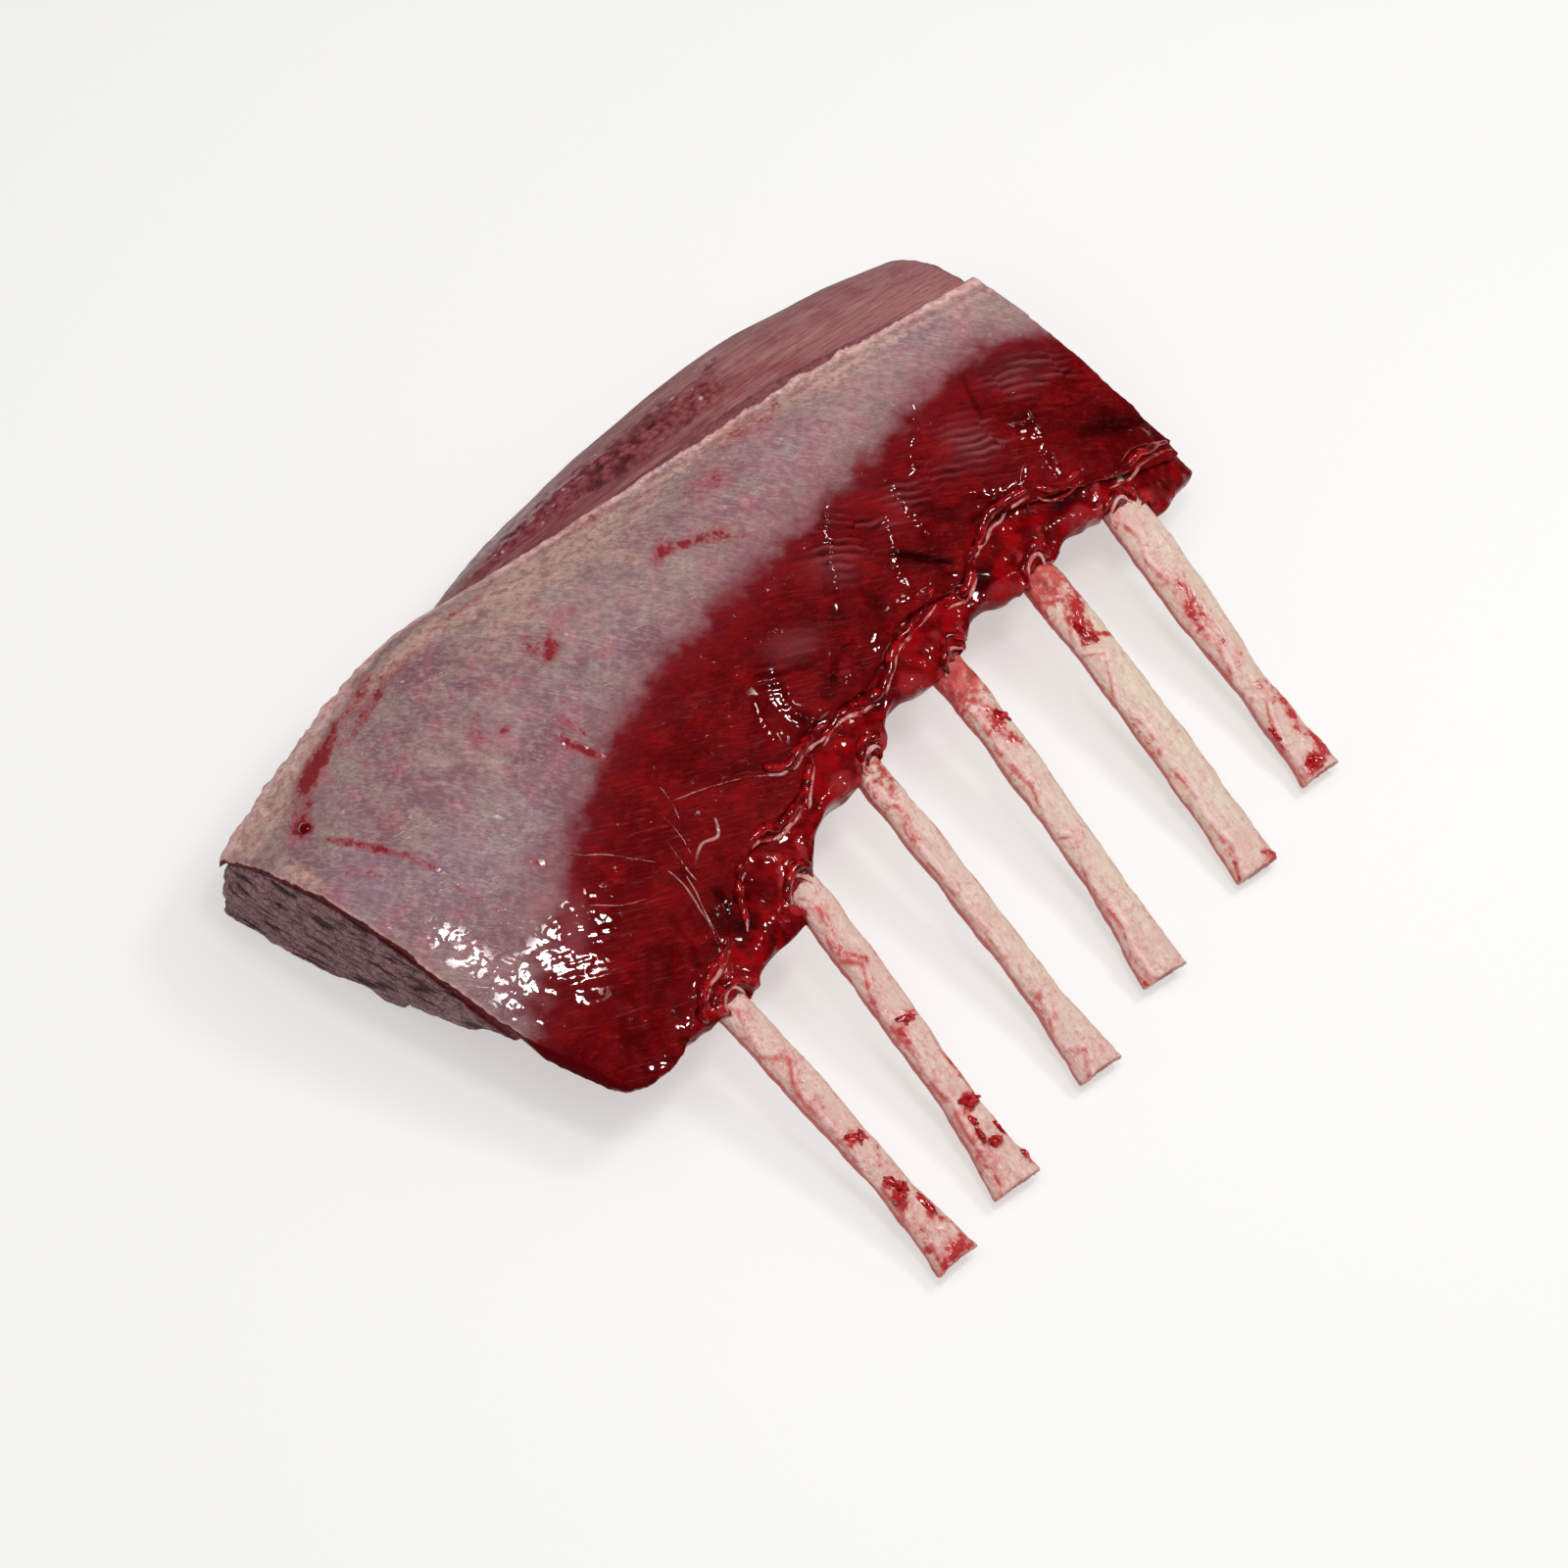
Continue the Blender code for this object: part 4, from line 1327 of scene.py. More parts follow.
def root_ring(shape, index, seed, back, swell, radius, sink):
    """A roll over the top of one rib at its root, as an arch that is laid on the surface."""
    rows = rib_lines[RIB_NODES[index]]
    y = root_places[index] + OPEN_BACK[index] + back
    middle_x, _ = on_line(rows, y)
    slant = (on_line(rows, y + 4)[0] - on_line(rows, y - 4)[0]) / 8
    points = []
    for number in range(RING_POINTS + 1):
        angle = math.pi * number / RING_POINTS
        aside = math.cos(angle) * (RING_WIDTH + swell)
        ahead = (math.sin(angle) - 0.7) * (RING_LENGTH + swell)
        ahead += noise.noise(Vector((number / 4.0, seed, 0.0))) * 0.9
        points.append((middle_x + aside + slant * ahead, y + ahead))
    laid_roll(shape, points, radius, sink, seed, all_surface)


def root_rings():
    """All pale rings, and a thicker red roll behind each."""
    pale = bmesh.new()
    red = bmesh.new()
    for index in range(len(RIB_NODES)):
        root_ring(pale, index, 60.0 + index, -0.3, 0.0, RING_RADIUS, 0.45)
        root_ring(red, index, 80.0 + index, 0.7, 0.9, RING_RADIUS * 2.4, 0.65)
    return finished_piece("root_rings", pale), finished_piece("root_collars", red)


pale_rings, red_collars = root_rings()

# %% [markdown]
# ## Scraps and a drop
# Small scraps of red tissue cling to the bones, and one drop of juice sits on the
# silverskin. Each scrap is an icosphere that is flattened, roughened by noise and set on
# the surface below it.

# %% Scraps and a drop
SCRAPS = (
    # rib, from its tip, from its middle, half sizes along, across and up, turn
    (0, 28.5, -0.8, 1.6, 0.7, 0.5, 60), (0, 27.2, 0.9, 1.3, 0.5, 0.4, -30),
    (0, 18.0, -0.4, 1.9, 0.8, 0.7, 20), (0, 15.6, -1.6, 1.3, 0.8, 0.6, 80),
    (0, 15.8, 0.8, 1.1, 0.7, 0.5, -20), (0, 11.5, 3.2, 2.6, 0.7, 0.4, 15),
    (1, 34.4, 0.6, 2.2, 0.6, 0.5, 75), (1, 17.0, 1.2, 1.8, 1.0, 0.7, 70),
    (1, 14.6, -0.2, 1.2, 0.7, 0.5, 10), (1, 12.2, -0.6, 1.7, 0.5, 0.4, 5),
    (1, 9.4, 0.8, 1.3, 0.9, 0.6, 60), (1, 10.5, 3.4, 1.6, 0.5, 0.4, 15),
    (1, 4.2, 4.2, 1.0, 0.7, 0.5, 0), (4, 52.6, 0.4, 2.2, 0.7, 0.5, 10),
    (4, 50.4, 1.8, 1.4, 0.6, 0.4, 20), (5, 3.2, -0.2, 1.6, 1.1, 0.5, 60),
    (5, 12.0, -2.8, 1.8, 0.5, 0.4, 10), (3, 53.0, 1.8, 1.6, 0.9, 0.5, 30),
)
DROP = (-78.3, 62.2, 1.25, 0.75)


def blob(shape, place, normal, turn, sizes, seed, bumpiness):
    """A flattened, roughened ball that sits on a surface."""
    level = Vector((math.cos(math.radians(turn)), math.sin(math.radians(turn)), 0.0))
    side = normal.cross(level).normalized()
    along = side.cross(normal)
    setting = Matrix((along, side, normal)).transposed().to_4x4()
    made = bmesh.ops.create_icosphere(shape, subdivisions=3, radius=1.0)["verts"]
    for vertex in made:
        bump = 1.0 + bumpiness * noise.noise(vertex.co * 1.7 + Vector((seed, 0, 0)))
        vertex.co = vertex.co * bump
    size = Matrix.Diagonal((*[value * MM for value in sizes], 1.0))
    bmesh.ops.transform(shape, matrix=Matrix.Translation(place * MM) @ setting @ size, verts=made)


def scrap_piece():
    """The red scraps on the bones."""
    shape = bmesh.new()
    for number, (rib, from_tip, aside, long, wide, tall, turn) in enumerate(SCRAPS):
        rows = rib_lines[RIB_NODES[rib]]
        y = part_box(RIB_NODES[rib])[0].y / MM + from_tip
        point, normal = dropped(on_line(rows, y)[0] + aside, y, all_surface)
        if point is not None:
            blob(shape, point, normal, turn + 70, (long, wide, tall), number * 5.3, 0.75)
    return finished_piece("bone_scraps", shape)


scraps = scrap_piece()
drop_shape = bmesh.new()
drop_place, drop_normal = dropped(DROP[0], DROP[1], meat_surface)
blob(drop_shape, drop_place, drop_normal, 0, (DROP[2], DROP[2], DROP[3]), 1.0, 0.12)
drop = finished_piece("juice_drop", drop_shape)

# %% [markdown]
# ## Small helpers for finishes
# A finish is a tree of nodes. One helper adds a node and links or fills its sockets, and
# short helpers on top of it do one sum, or turn a value into a soft mask. Colours are
# written as the 0 to 255 values of a colour picker and made linear.

# %% Small helpers for finishes
def paint(red, green, blue):
    """A colour picker's colour as the linear colour that a shader takes."""
    linear = []
    for value in (red, green, blue):
        part = value / 255
        linear.append(part / 12.92 if part <= 0.04045 else ((part + 0.055) / 1.055) ** 2.4)
    return (*linear, 1.0)


def fill(tree, socket, value):
    """Links a socket to another one, or fills it with a value."""
    if isinstance(value, bpy.types.NodeSocket):
        tree.links.new(value, socket)
    else:
        socket.default_value = value


def put(tree, kind, inputs, **settings):
    """A new node, with its settings made and its sockets linked or filled."""
    made = tree.nodes.new(kind)
    for name, value in settings.items():
        setattr(made, name, value)
    for key, value in inputs.items():
        fill(tree, made.inputs[key], value)
    return made


def sums(tree, operation, first, second=0.0, third=0.0):
    """One sum on values."""
    made = put(tree, "ShaderNodeMath", {0: first, 1: second, 2: third}, operation=operation)
    return made.outputs[0]


def wavered(tree, value, pattern, amount):
    """A value that a pattern makes a little more or less."""
    return sums(tree, "MULTIPLY_ADD", sums(tree, "SUBTRACT", pattern, 0.5), amount, value)


def mask(tree, value, low, high, top=1.0):
    """0 where a value is below low, top where it is above high, and a soft step between."""
    inputs = {"Value": value, "From Min": low, "From Max": high, "To Min": 0.0, "To Max": top}
    made = put(tree, "ShaderNodeMapRange", inputs, interpolation_type="SMOOTHSTEP")
    return made.outputs["Result"]


def object_places(tree):
    """Object coordinates, which are in metres on the rack."""
    return tree.nodes.new("ShaderNodeTexCoord").outputs["Object"]


def x_of(tree):
    """How far along the rack a place is, in metres towards the shoulder end."""
    return put(tree, "ShaderNodeSeparateXYZ", {"Vector": object_places(tree)}).outputs["X"]


def tones_of(tree, name):
    """The red, green, blue and alpha of a colour attribute."""
    read = put(tree, "ShaderNodeAttribute", {}, attribute_name=name)
    parts = put(tree, "ShaderNodeSeparateColor", {"Color": read.outputs["Color"]})
    return (*parts.outputs, read.outputs["Alpha"])


print("mid grey is", [round(part, 3) for part in paint(128, 128, 128)], "in linear colour")

# %% [markdown]
# ## Colours laid over each other
# Meat gets its colour as a painter would build it: a ground, then thin layers over it,
# each held back by a mask. So one helper takes the layers as a table. Each row of it gives
# a value, the levels that make it a mask, or one strength to weaken it by, and a colour.

# %% Colours laid over each other
def mixed(tree, factor, first, second):
    """Two colours mixed by a factor. Each is a socket or a colour picker's three values."""
    pair = [paint(*colour) if isinstance(colour, tuple) else colour for colour in (first, second)]
    made = put(tree, "ShaderNodeMix", {0: factor, 6: pair[0], 7: pair[1]},
               data_type="RGBA", clamp_factor=True)
    return made.outputs[2]


def blended(tree, factor, first, second):
    """Two values mixed by a factor."""
    made = put(tree, "ShaderNodeMix", {0: factor, 2: first, 3: second}, data_type="FLOAT")
    return made.outputs[0]


def layered(tree, colour, *layers):
    """A colour with the layers of a table laid over it, in their order."""
    for value, *levels, over in layers:
        if len(levels) > 1:
            factor = mask(tree, value, *levels)
        else:
            factor = sums(tree, "MULTIPLY", value, levels[0])
        colour = mixed(tree, factor, colour, over)
    return colour


# %% [markdown]
# ## Patterns that several finishes share
# Muscle and silverskin are streaked along their fibres, everything on meat is blotchy, and
# tiny specks lie on most of it. Each pattern is a node group that reads Object coordinates,
# so it runs on without a seam, and its sizes are in millimetres. Ripples have no fine
# detail, so a wet coat over them glints in clear points instead of turning grey.

# %% Patterns that several finishes share
PER_MM = 1000.0


def new_group(name, inputs, output):
    """An empty node group with number sockets: its inputs, and the socket of its result."""
    group = bpy.data.node_groups.new(name, "ShaderNodeTree")
    number = "NodeSocketFloat"
    for label, value in inputs:
        made = group.interface.new_socket(name=label, in_out="INPUT", socket_type=number)
        made.default_value = value
    group.interface.new_socket(name=output, in_out="OUTPUT", socket_type=number)
    given = group.nodes.new("NodeGroupInput").outputs
    return group, given, group.nodes.new("NodeGroupOutput").inputs[output]


def use(tree, group, *values):
    """A group placed in a tree. Its values are given in the order of its inputs."""
    made = put(tree, "ShaderNodeGroup", {}, node_tree=group)
    for index, value in enumerate(values):
        fill(tree, made.inputs[index], value)
    return made.outputs[0]


def per_size(group, size):
    """The scale that gives a pattern a size in millimetres."""
    return sums(group, "DIVIDE", PER_MM, size)


def fibre_group():
    """Streaks along the fibres: turn in degrees, then length, width and waviness."""
    inputs = (("Turn", 0.0), ("Length", 8.0), ("Width", 1.0), ("Waviness", 0.5))
    group, given, result = new_group("fibres", inputs, "Fibre")
    angle = sums(group, "MULTIPLY", given["Turn"], -math.pi / 180)
    turned_back = put(group, "ShaderNodeVectorRotate",
                      {"Vector": object_places(group), "Angle": angle}, rotation_type="Z_AXIS")
    beside = per_size(group, given["Width"])
    scale = put(group, "ShaderNodeCombineXYZ",
                {"X": per_size(group, given["Length"]), "Y": beside, "Z": beside})
    scaled = put(group, "ShaderNodeVectorMath",
                 {0: turned_back.outputs[0], 1: scale.outputs[0]}, operation="MULTIPLY")
    streaks = put(group, "ShaderNodeTexNoise", {
        "Vector": scaled.outputs[0], "Scale": 1.0, "Detail": 3.0, "Roughness": 0.6,
        "Distortion": given["Waviness"],
    })
    group.links.new(mask(group, streaks.outputs[0], 0.28, 0.72), result)
    return group


def clouds(group, given, detail, roughness):
    """Noise with the size and seed that a group is given."""
    made = put(group, "ShaderNodeTexNoise", {
        "Vector": object_places(group), "W": given["Seed"],
        "Scale": per_size(group, given["Size"]), "Detail": detail, "Roughness": roughness,
    }, noise_dimensions="4D")
    return made.outputs[0]


def blotch_group():
    """Soft clouds of one size."""
    group, given, result = new_group("blotches", (("Size", 5.0), ("Seed", 0.0)), "Blotch")
    group.links.new(mask(group, clouds(group, given, 3.0, 0.55), 0.3, 0.7), result)
    return group


def ripple_group():
    """Smooth swells of one size, with a few finer ones on them."""
    group, given, result = new_group("ripples", (("Size", 2.0), ("Seed", 0.0)), "Ripple")
    group.links.new(clouds(group, given, 1.0, 0.3), result)
    return group


fibres = fibre_group()
blotches = blotch_group()
ripples = ripple_group()

# %% [markdown]
# ## Specks, bundles and stains
# Specks and muscle bundles both come from Voronoi cells: a speck is a dot round the middle
# of a cell, and a cut bundle is outlined by the edges between cells. A stain takes the soft
# tone that is kept on a piece and gives it a ragged edge.

# %% Specks, bundles and stains
BUNDLE_BEND = 0.0012


def cells(group, places, seed, size, **settings):
    """Voronoi cells of one size."""
    inputs = {"Vector": places, "W": seed, "Scale": per_size(group, size)}
    made = put(group, "ShaderNodeTexVoronoi", inputs, voronoi_dimensions="4D", **settings)
    return made.outputs["Distance"]


def speck_group():
    """Small dots: their spacing, how large they are in it, and a seed."""
    inputs = (("Spacing", 3.0), ("Amount", 0.2), ("Seed", 0.0))
    group, given, result = new_group("specks", inputs, "Speck")
    distance = cells(group, object_places(group), given["Seed"], given["Spacing"])
    inner = sums(group, "MULTIPLY", given["Amount"], 0.5)
    group.links.new(mask(group, distance, given["Amount"], inner), result)
    return group


def bundle_group():
    """Thin dark lines round muscle bundles that are cut across."""
    group, given, result = new_group("bundles", (("Size", 2.0), ("Seed", 0.0)), "Line")
    places = object_places(group)
    bend = put(group, "ShaderNodeTexNoise", {"Vector": places, "Scale": 0.5 * PER_MM})
    bent = put(group, "ShaderNodeVectorMath",
               {0: bend.outputs["Color"], 1: (BUNDLE_BEND,) * 3, 2: places},
               operation="MULTIPLY_ADD").outputs[0]
    distance = cells(group, bent, given["Seed"], given["Size"], feature="DISTANCE_TO_EDGE")
    group.links.new(mask(group, distance, 0.10, 0.0), result)
    return group


def stain_group():
    """A stain with a ragged edge, from the soft stain tone of a piece."""
    group, given, result = new_group("stain", (("Tone", 0.0), ("Grain", 1.0)), "Stain")
    uneven = sums(group, "MULTIPLY_ADD", use(group, blotches, 2.6, 3.0), 0.5, given["Tone"])
    small = use(group, blotches, given["Grain"], 8.0)
    uneven = sums(group, "MULTIPLY_ADD", small, 0.45, uneven)
    group.links.new(mask(group, uneven, 0.74, 1.30), result)
    return group


specks = speck_group()
bundles = bundle_group()
stains = stain_group()
print("patterns:", [group.name for group in bpy.data.node_groups])

# %% [markdown]
# ## A wet coat
# Wet meat has two surfaces: its own fine relief, and over it a film of juice that is
# smoother and glints. So each finish has two bumps in a row. Slow ripples shape the coat,
# and the fine grain on top of them shapes only what lies under it.

# %% A wet coat
COAT_IOR = 1.75
RIPPLE_SIZE = 1.9


def new_finish(name, specular, coat_roughness):
    """A material with its shader's fixed values set, its node tree and its shader."""
    material = bpy.data.materials.new(name)
    material.use_nodes = True
    tree = material.node_tree
    shader = tree.nodes["Principled BSDF"]
    shader.inputs["Specular IOR Level"].default_value = specular
    shader.inputs["Coat Roughness"].default_value = coat_roughness
    shader.inputs["Coat IOR"].default_value = COAT_IOR
    return material, tree, shader


def finish_with(tree, shader, colour, roughness, coat, height, depth, swelling=0.15):
    """Links a finish's colour, roughness, coat and bumps to its shader."""
    swell = {"Height": use(tree, ripples, RIPPLE_SIZE, 61.0), "Distance": swelling * MM}
    coated = put(tree, "ShaderNodeBump", {"Strength": 1.0, **swell}).outputs["Normal"]
    grained = {"Height": height, "Distance": depth * MM, "Normal": coated}
    fine = put(tree, "ShaderNodeBump", {"Strength": 1.0, **grained}).outputs["Normal"]
    for name, value in (
        ("Base Color", colour), ("Roughness", roughness), ("Coat Weight", coat),
        ("Normal", fine), ("Coat Normal", coated),
    ):
        fill(tree, shader.inputs[name], value)


def deep_red(tree, fold, fibre, seed):
    """The colour of wet red muscle from its fibres, with painted shade where its relief is low.
    """
    middle = use(tree, blotches, 5.0, seed + 1)
    small = use(tree, blotches, 1.6, seed + 2)
    ground = mixed(tree, use(tree, blotches, 12.0, seed), (88, 0, 2), (112, 8, 12))
    return layered(
        tree, ground,
        (middle, 0.55, 1.0, 0.45, (140, 8, 12)),
        (middle, 0.40, 0.0, 0.40, (66, 0, 0)),
        (fibre, 0.45, 0.0, 0.40, (66, 0, 0)),
        (small, 0.55, 1.0, 0.25, (132, 22, 28)),
        # painted shade: darker where the fold or relief tone is low, as in valleys and creases
        (fold, 0.48, 0.30, 0.75, (58, 0, 0)),
        (fold, 0.30, 0.08, 0.90, (26, 0, 0)),
    )


# %% [markdown]
# ## The finish of the outer layer
# Under the silverskin the meat shows through as mauve grey, tan where the fascia is thick
# and lilac where it is thin. The mask between skin and red muscle is the kept tone plus
# fibre noise, so the edge frays along the fibres. The red part has painted shade in its
# folds and a painted sheen on their crests, and is wet where the kept tone says so.

# %% The finish of the outer layer
STRAND_TURN = -30.0
FRAY_TURN = -58.0


def skin_colour(tree, frayed, skin_mask, lilac_and_sheen, fascia, shade):
    """The colour and the fine relief of silverskin, from the kept tones."""
    middle = use(tree, blotches, 5.0, 2.0)
    patches = use(tree, blotches, 7.0, 9.0)
    small = use(tree, blotches, 1.3, 3.0)
    fibre = use(tree, fibres, SKIN_TURN, 3.2, 0.5, 0.9)
    strands = mask(tree, use(tree, fibres, STRAND_TURN, 5.0, 0.55, 3.0), 0.62, 0.95)
    strands = sums(tree, "MULTIPLY", strands, mask(tree, patches, 0.3, 0.9))
    ground = mixed(tree, use(tree, blotches, 15.0, 1.0), (124, 88, 97), (159, 131, 129))
    tan = mixed(tree, small, (176, 138, 122), (216, 176, 160))
    bare_meat = mixed(tree, small, (122, 64, 70), (150, 90, 92))
    colour = layered(
        tree, ground,
        (x_of(tree), -0.010, 0.050, 0.45, (184, 132, 129)),
        (middle, 0.45, 1.0, 0.60, (172, 104, 112)),
        (patches, 0.50, 1.0, 0.75, (160, 138, 128)),
        (lilac_and_sheen, 0.50, (138, 116, 138)),
        (fascia, 0.1, 0.95, 0.85, tan),
        (small, 0.52, 0.9, 0.28, (190, 158, 154)),
        (small, 0.48, 0.1, 0.26, (112, 70, 80)),
        (fibre, 0.5, 1.0, 0.24, (194, 168, 162)),
        (fibre, 0.5, 0.0, 0.24, (106, 66, 76)),
        (strands, 0.65, (206, 186, 178)),
        (use(tree, specks, 3.4, 0.16, 4.0), 0.45, (212, 188, 180)),
        (frayed, 1.05, 0.50, 0.55, (126, 72, 82)),
        (sums(tree, "MULTIPLY", shade, skin_mask), 0.2, 0.7, bare_meat),
    )
    return colour, sums(tree, "MULTIPLY_ADD", strands, 0.7, fibre)


def outer_finish():
    """Silverskin, cap muscle, stains and the cut rim."""
    material, tree, shader = new_finish("silverskin_and_cap", 0.03, 0.055)
    silver, fascia, stain, shade = tones_of(tree, "tone")
    fold, lilac_and_sheen, rim, cut = tones_of(tree, "form")
    frayed = wavered(tree, silver, use(tree, fibres, FRAY_TURN, 12.0, 3.4, 1.0), 0.06)
    frayed = wavered(tree, frayed, use(tree, blotches, 5.0, 2.0), 0.16)
    skin_mask = mask(tree, frayed, 0.34, 0.68)

    fibre = use(tree, fibres, CAP_TURN, 7.0, 0.6, 0.8)
    large = use(tree, blotches, 15.0, 1.0)
    streaked = sums(tree, "MULTIPLY", mask(tree, fibre, 0.68, 1.0), large)
    red = layered(
        tree, deep_red(tree, fold, fibre, 20.0),
        # lilac, haze and the painted sheen on the wrinkle crests
        (lilac_and_sheen, 0.15, 1.0, 0.75, (152, 78, 84)),
        (frayed, 0.02, 0.46, 0.60, (110, 24, 32)),
        (shade, 0.75, (44, 0, 0)),
        (streaked, 0.32, (138, 52, 58)),
    )
    skin, skin_height = skin_colour(tree, frayed, skin_mask, lilac_and_sheen, fascia, shade)
    pale_rim = mixed(tree, use(tree, blotches, 1.3, 3.0), (200, 142, 138), (236, 200, 194))
    blood = use(tree, stains, stain, 0.8)
    colour = layered(
        tree, mixed(tree, skin_mask, red, skin),
        (rim, 0.15, 0.75, 0.88, pale_rim),
        (stain, 0.05, 0.55, 0.50, (160, 70, 80)),
        (blood, 0.85, (132, 14, 22)),
        (cut, 0.3, 0.8, 0.95, (78, 2, 6)),
    )

    lines = use(tree, fibres, CAP_TURN, 6.0, 0.9, 0.6)
    lined = sums(tree, "MULTIPLY", lines, mask(tree, lilac_and_sheen, 0.1, 0.6, 1.6))
    height = blended(tree, skin_mask, sums(tree, "ADD", fibre, lined), skin_height)
    roughness = blended(tree, skin_mask, 0.40, 0.46)
    wet = put(tree, "ShaderNodeAttribute", {}, attribute_name="wet").outputs["Fac"]
    coat = sums(tree, "MULTIPLY", wet, blended(tree, skin_mask, 1.0, 0.55))
    coat = sums(tree, "MAXIMUM", coat, sums(tree, "MULTIPLY", blood, 0.6))
    finish_with(tree, shader, colour, roughness, coat, height, 0.10, 0.22)
    return material


# %% [markdown]
# ## The finish of the loin
# The bare strip along the back is matte and mauve brown, with long pale streaks, and turns
# darker and wetter towards the loin end. The cut face has dried a little: grey purple
# bundles with near black streaks of blood between them.

# %% The finish of the loin
CUT_TURN = -78.0


def loin_finish():
    """The back strip, the cut face and the shoulder end."""
    material, tree, shader = new_finish("loin_muscle", 0.10, 0.10)
    cut, end, wet, _ = tones_of(tree, "tone")
    relief, streak, band, _ = tones_of(tree, "form")
    small = use(tree, blotches, 1.4, 11.0)
    middle = use(tree, blotches, 6.0, 12.0)
    fibre = use(tree, fibres, STRIP_TURN, 9.0, 0.5, 0.5)
    level = use(tree, fibres, CUT_TURN, 5.0, 0.55, 0.9)

    to_shoulder = mask(tree, x_of(tree), -0.045, 0.080)
    wet_red = mixed(tree, small, (98, 18, 28), (156, 84, 88))
    flecks = use(tree, specks, 2.4, 0.25, 13.0)
    flecked = sums(tree, "MULTIPLY", flecks, mask(tree, wet, 0.1, 0.7, 0.8))
    strip = layered(
        tree, mixed(tree, to_shoulder, (116, 44, 52), (160, 106, 106)),
        (use(tree, fibres, STRIP_TURN, 14.0, 1.6, 0.6), 0.5, 1.0, 0.45, (178, 136, 132)),
        (fibre, 0.5, 0.0, 0.50, (108, 42, 50)),
        (middle, 0.5, 1.0, 0.45, (130, 50, 58)),
        (wet, 0.15, 0.8, 0.85, wet_red),
        (flecked, 1.0, (206, 178, 172)),
    )
    face = layered(
        tree, mixed(tree, small, (132, 92, 99), (166, 128, 132)),
        (middle, 0.5, 1.0, 0.45, (122, 60, 70)),
        (level, 0.45, 0.0, 0.70, (70, 22, 30)),
        (level, 0.65, 1.0, 0.40, (166, 140, 142)),
        (use(tree, bundles, 2.1, 14.0), 0.60, (56, 14, 20)),
        (streak, 0.48, 0.26, 0.85, (48, 10, 16)),
        (streak, 0.70, 1.0, 0.5, (156, 124, 126)),
        (band, 0.25, 0.8, 0.95, (92, 2, 6)),
    )
    shoulder = layered(
        tree, mixed(tree, small, (112, 34, 40), (140, 70, 72)),
        (middle, 0.4, 1.0, 0.5, (158, 98, 96)),
        (use(tree, bundles, 2.6, 15.0), 0.5, (74, 16, 22)),
    )
    colour = layered(
        tree, strip,
        (cut, 0.3, 0.7, face),
        (end, 0.3, 0.7, shoulder),
        # painted shade: darker where the carved relief is low
        (relief, 0.44, 0.25, 0.6, (50, 8, 14)),
    )
    height = sums(tree, "MULTIPLY_ADD", small, 0.5, fibre)
    coat = sums(tree, "MULTIPLY_ADD", wet, 0.7, 0.02)
    finish_with(tree, shader, colour, 0.55, coat, height, 0.16)
    return material


# %% [markdown]
# ## The finish of the layer between the ribs
# It is the same wet red muscle, with painted light and shade that follow its relief, and
# painted shadow that makes it near black in the pockets beside the ribs. It has a pale
# wrap round each rib root and a duller, pinkish membrane underneath.

# %% The finish of the layer between the ribs
def rib_layer_finish():
    """The wet ledge and the membrane below it."""
    material, tree, shader = new_finish("rib_meat", 0.03, 0.055)
    pale, dark, under, _ = tones_of(tree, "tone")
    relief = tones_of(tree, "form")[0]
    fibre = use(tree, fibres, LEDGE_TURN, 6.0, 0.7, 0.8)
    small = use(tree, blotches, 1.2, 31.0)
    membrane = mixed(tree, small, (128, 44, 50), (164, 92, 92))
    red = layered(
        tree, deep_red(tree, relief, fibre, 30.0),
        # painted light: paler red on the high points of the relief, while deep_red paints shade
        # in its low places
        (relief, 0.62, 0.92, 0.45, (170, 50, 54)),
        (use(tree, blotches, 4.0, 37.0), 0.3, 1.0, 0.75, (152, 4, 10)),
        (under, 0.75, membrane),
        (sums(tree, "MULTIPLY_ADD", small, 0.5, pale), 0.85, 1.35, 0.50, (180, 52, 56)),
        # painted shadow, near black in the pockets beside the ribs
        (dark, 0.1, 0.8, 0.85, (30, 0, 2)),
    )
    wet = mask(tree, use(tree, blotches, 4.0, 38.0), 0.25, 1.0, 0.9)
    coat = sums(tree, "MULTIPLY", wet, sums(tree, "MULTIPLY_ADD", under, -0.8, 1.0))
    finish_with(tree, shader, red, 0.35, coat, fibre, 0.10)
    return material


# %% [markdown]
# ## The finish of the bones
# Clean bone is a warm, pinkish white with fine red freckles, creamier on the shoulder ribs.
# The low places of the scraped surface are darker and redder, the ridge along the left side
# is paler, partly as a painted highlight, and blood gathers along the lower left edges, at
# the roots and in the spongy sawn tips.

# %% The finish of the bones
BONE_TURN = 71.0


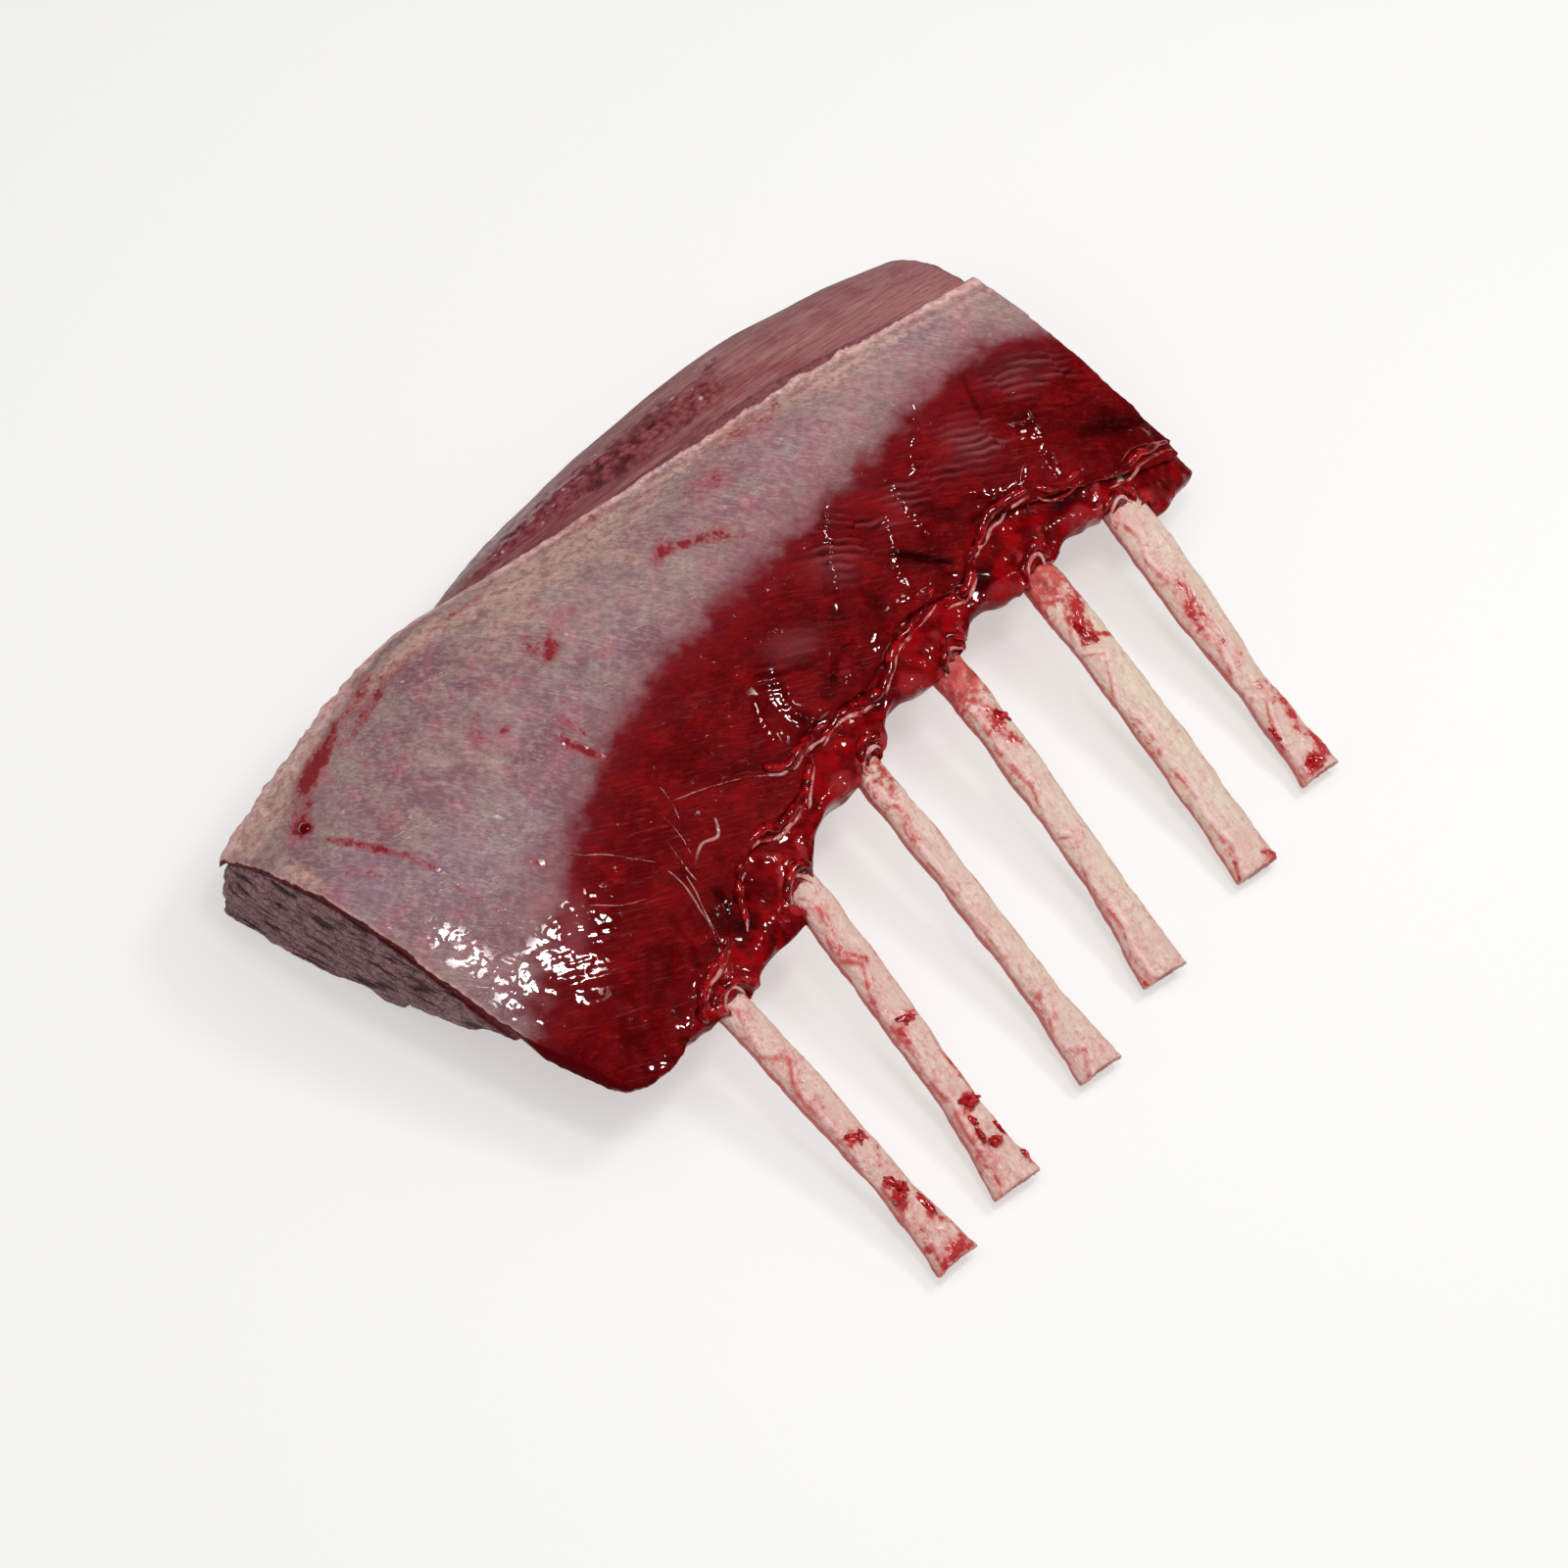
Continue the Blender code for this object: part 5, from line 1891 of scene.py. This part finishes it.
def bone_finish():
    """Bone with freckles, stains, red edges, roots and sawn tips."""
    material, tree, shader = new_finish("bone", 0.20, 0.12)
    stain, edge, root, _ = tones_of(tree, "tone")
    relief, end, cream, ridge = tones_of(tree, "form")
    streaks = use(tree, fibres, BONE_TURN, 10.0, 0.9, 0.5)
    scratches = use(tree, fibres, BONE_TURN, 4.0, 0.35, 0.4)
    large = use(tree, blotches, 8.0, 41.0)
    small = use(tree, blotches, 1.3, 42.0)
    freckled = wavered(tree, use(tree, blotches, 0.75, 46.0), large, 0.4)
    freckled = sums(tree, "MULTIPLY_ADD", cream, -0.42, freckled)
    blood = use(tree, stains, stain, 0.7)
    root_red = mixed(tree, use(tree, blotches, 2.2, 45.0), (150, 6, 12), (206, 78, 74))
    tip = mixed(tree, use(tree, specks, 0.9, 0.45, 43.0), (206, 140, 130), (128, 26, 30))
    colour = layered(
        tree, mixed(tree, large, (208, 164, 156), (216, 184, 172)),
        (cream, 0.85, (212, 196, 174)),
        # paler along the ridge: partly the bone's pink tone, partly a painted highlight
        (ridge, 0.2, 0.9, 0.55, (234, 196, 192)),
        (streaks, 0.45, 1.0, 0.40, (208, 138, 132)),
        (scratches, 0.5, 1.0, 0.25, (232, 214, 204)),
        (small, 0.62, 1.0, 0.20, (204, 118, 112)),
        (freckled, 0.58, 0.88, 0.38, (198, 100, 98)),
        (stain, 0.08, 0.7, 0.60, (208, 108, 100)),
        (blood, 0.92, (172, 16, 24)),
        (wavered(tree, root, small, 0.7), 0.20, 0.95, 0.92, root_red),
        (wavered(tree, edge, small, 0.5), 0.05, 1.00, 0.80, (188, 50, 52)),
        (end, 0.3, 0.7, 0.9, tip),
        (relief, 0.28, 0.06, 0.4, (176, 92, 84)),
    )
    height = sums(tree, "MULTIPLY_ADD", small, 0.6, streaks)
    coat = sums(tree, "MULTIPLY_ADD", blood, 0.4, 0.04)
    finish_with(tree, shader, colour, 0.45, coat, height, 0.12, 0.10)
    return material


# %% [markdown]
# ## The finishes of the small tissue
# The curled edge of the cap muscle is pink in places and red in others, the scraps are
# bright blood red, and the drop is dark blood with a bright highlight.

# %% The finishes of the small tissue
TISSUES = {
    # name: dark colour, light colour, size of its clouds, roughness, coat
    "lip_tissue": ((140, 14, 20), (208, 136, 130), 3.4, 0.40, 0.5),
    "thread_tissue": ((116, 30, 36), (176, 120, 120), 5.0, 0.45, 0.5),
    "pale_tissue": ((190, 96, 94), (216, 164, 156), 3.0, 0.40, 0.8),
    "red_tissue": ((92, 0, 4), (158, 10, 16), 1.8, 0.35, 0.6),
    "scrap_tissue": ((148, 6, 12), (196, 34, 38), 1.2, 0.35, 1.0),
    "juice": ((90, 2, 6), (120, 8, 12), 2.0, 0.20, 1.0),
}


def tissue_finish(name, dark, light, cloud_size, roughness, coat):
    """A wet tissue between two colours, in clouds of one size."""
    material, tree, shader = new_finish(name, 0.10, 0.06)
    fine = use(tree, blotches, 0.8, 52.0)
    cloud = mask(tree, use(tree, blotches, cloud_size, 51.0), 0.30, 0.85)
    colour = layered(tree, mixed(tree, cloud, dark, light), (fine, 0.55, 1.0, 0.4, dark))
    finish_with(tree, shader, colour, roughness, coat, fine, 0.10)
    return material


tissues = {name: tissue_finish(name, *row) for name, row in TISSUES.items()}
print("tissues:", list(tissues))

# %% [markdown]
# ## Put everything on the body
# Every piece rides on the one body and takes its finish. The carved pieces stand for their
# solids, which stay hidden for collision.

# %% Put everything on the body
def place_piece(piece, material, node=None):
    """Gives a piece its finish and its body, and hides the solid it stands for."""
    piece.data.materials.clear()
    piece.data.materials.append(material)
    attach(piece, "root")
    if node:
        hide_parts(node)


bone = bone_finish()
place_piece(outer_layer, outer_finish(), "outer_layer")
place_piece(loin, loin_finish(), "loin_muscle")
place_piece(rib_layer, rib_layer_finish(), "rib_layer")
for rib, node in zip(ribs, RIB_NODES):
    place_piece(rib, bone, node)
for piece, tissue, slot in (
    (lip_rolls, "lip_tissue", "cover_meat"),
    (lip_swells, "red_tissue", "cover_meat"),
    (threads, "thread_tissue", "cover_meat"),
    (pale_rings, "pale_tissue", "rib_meat"),
    (red_collars, "red_tissue", "rib_meat"),
    (scraps, "scrap_tissue", "rib_meat"),
    (drop, "juice", "cover_meat"),
):
    place_piece(piece, tissues[tissue])
print("finishes:", [material.name for material in bpy.data.materials])
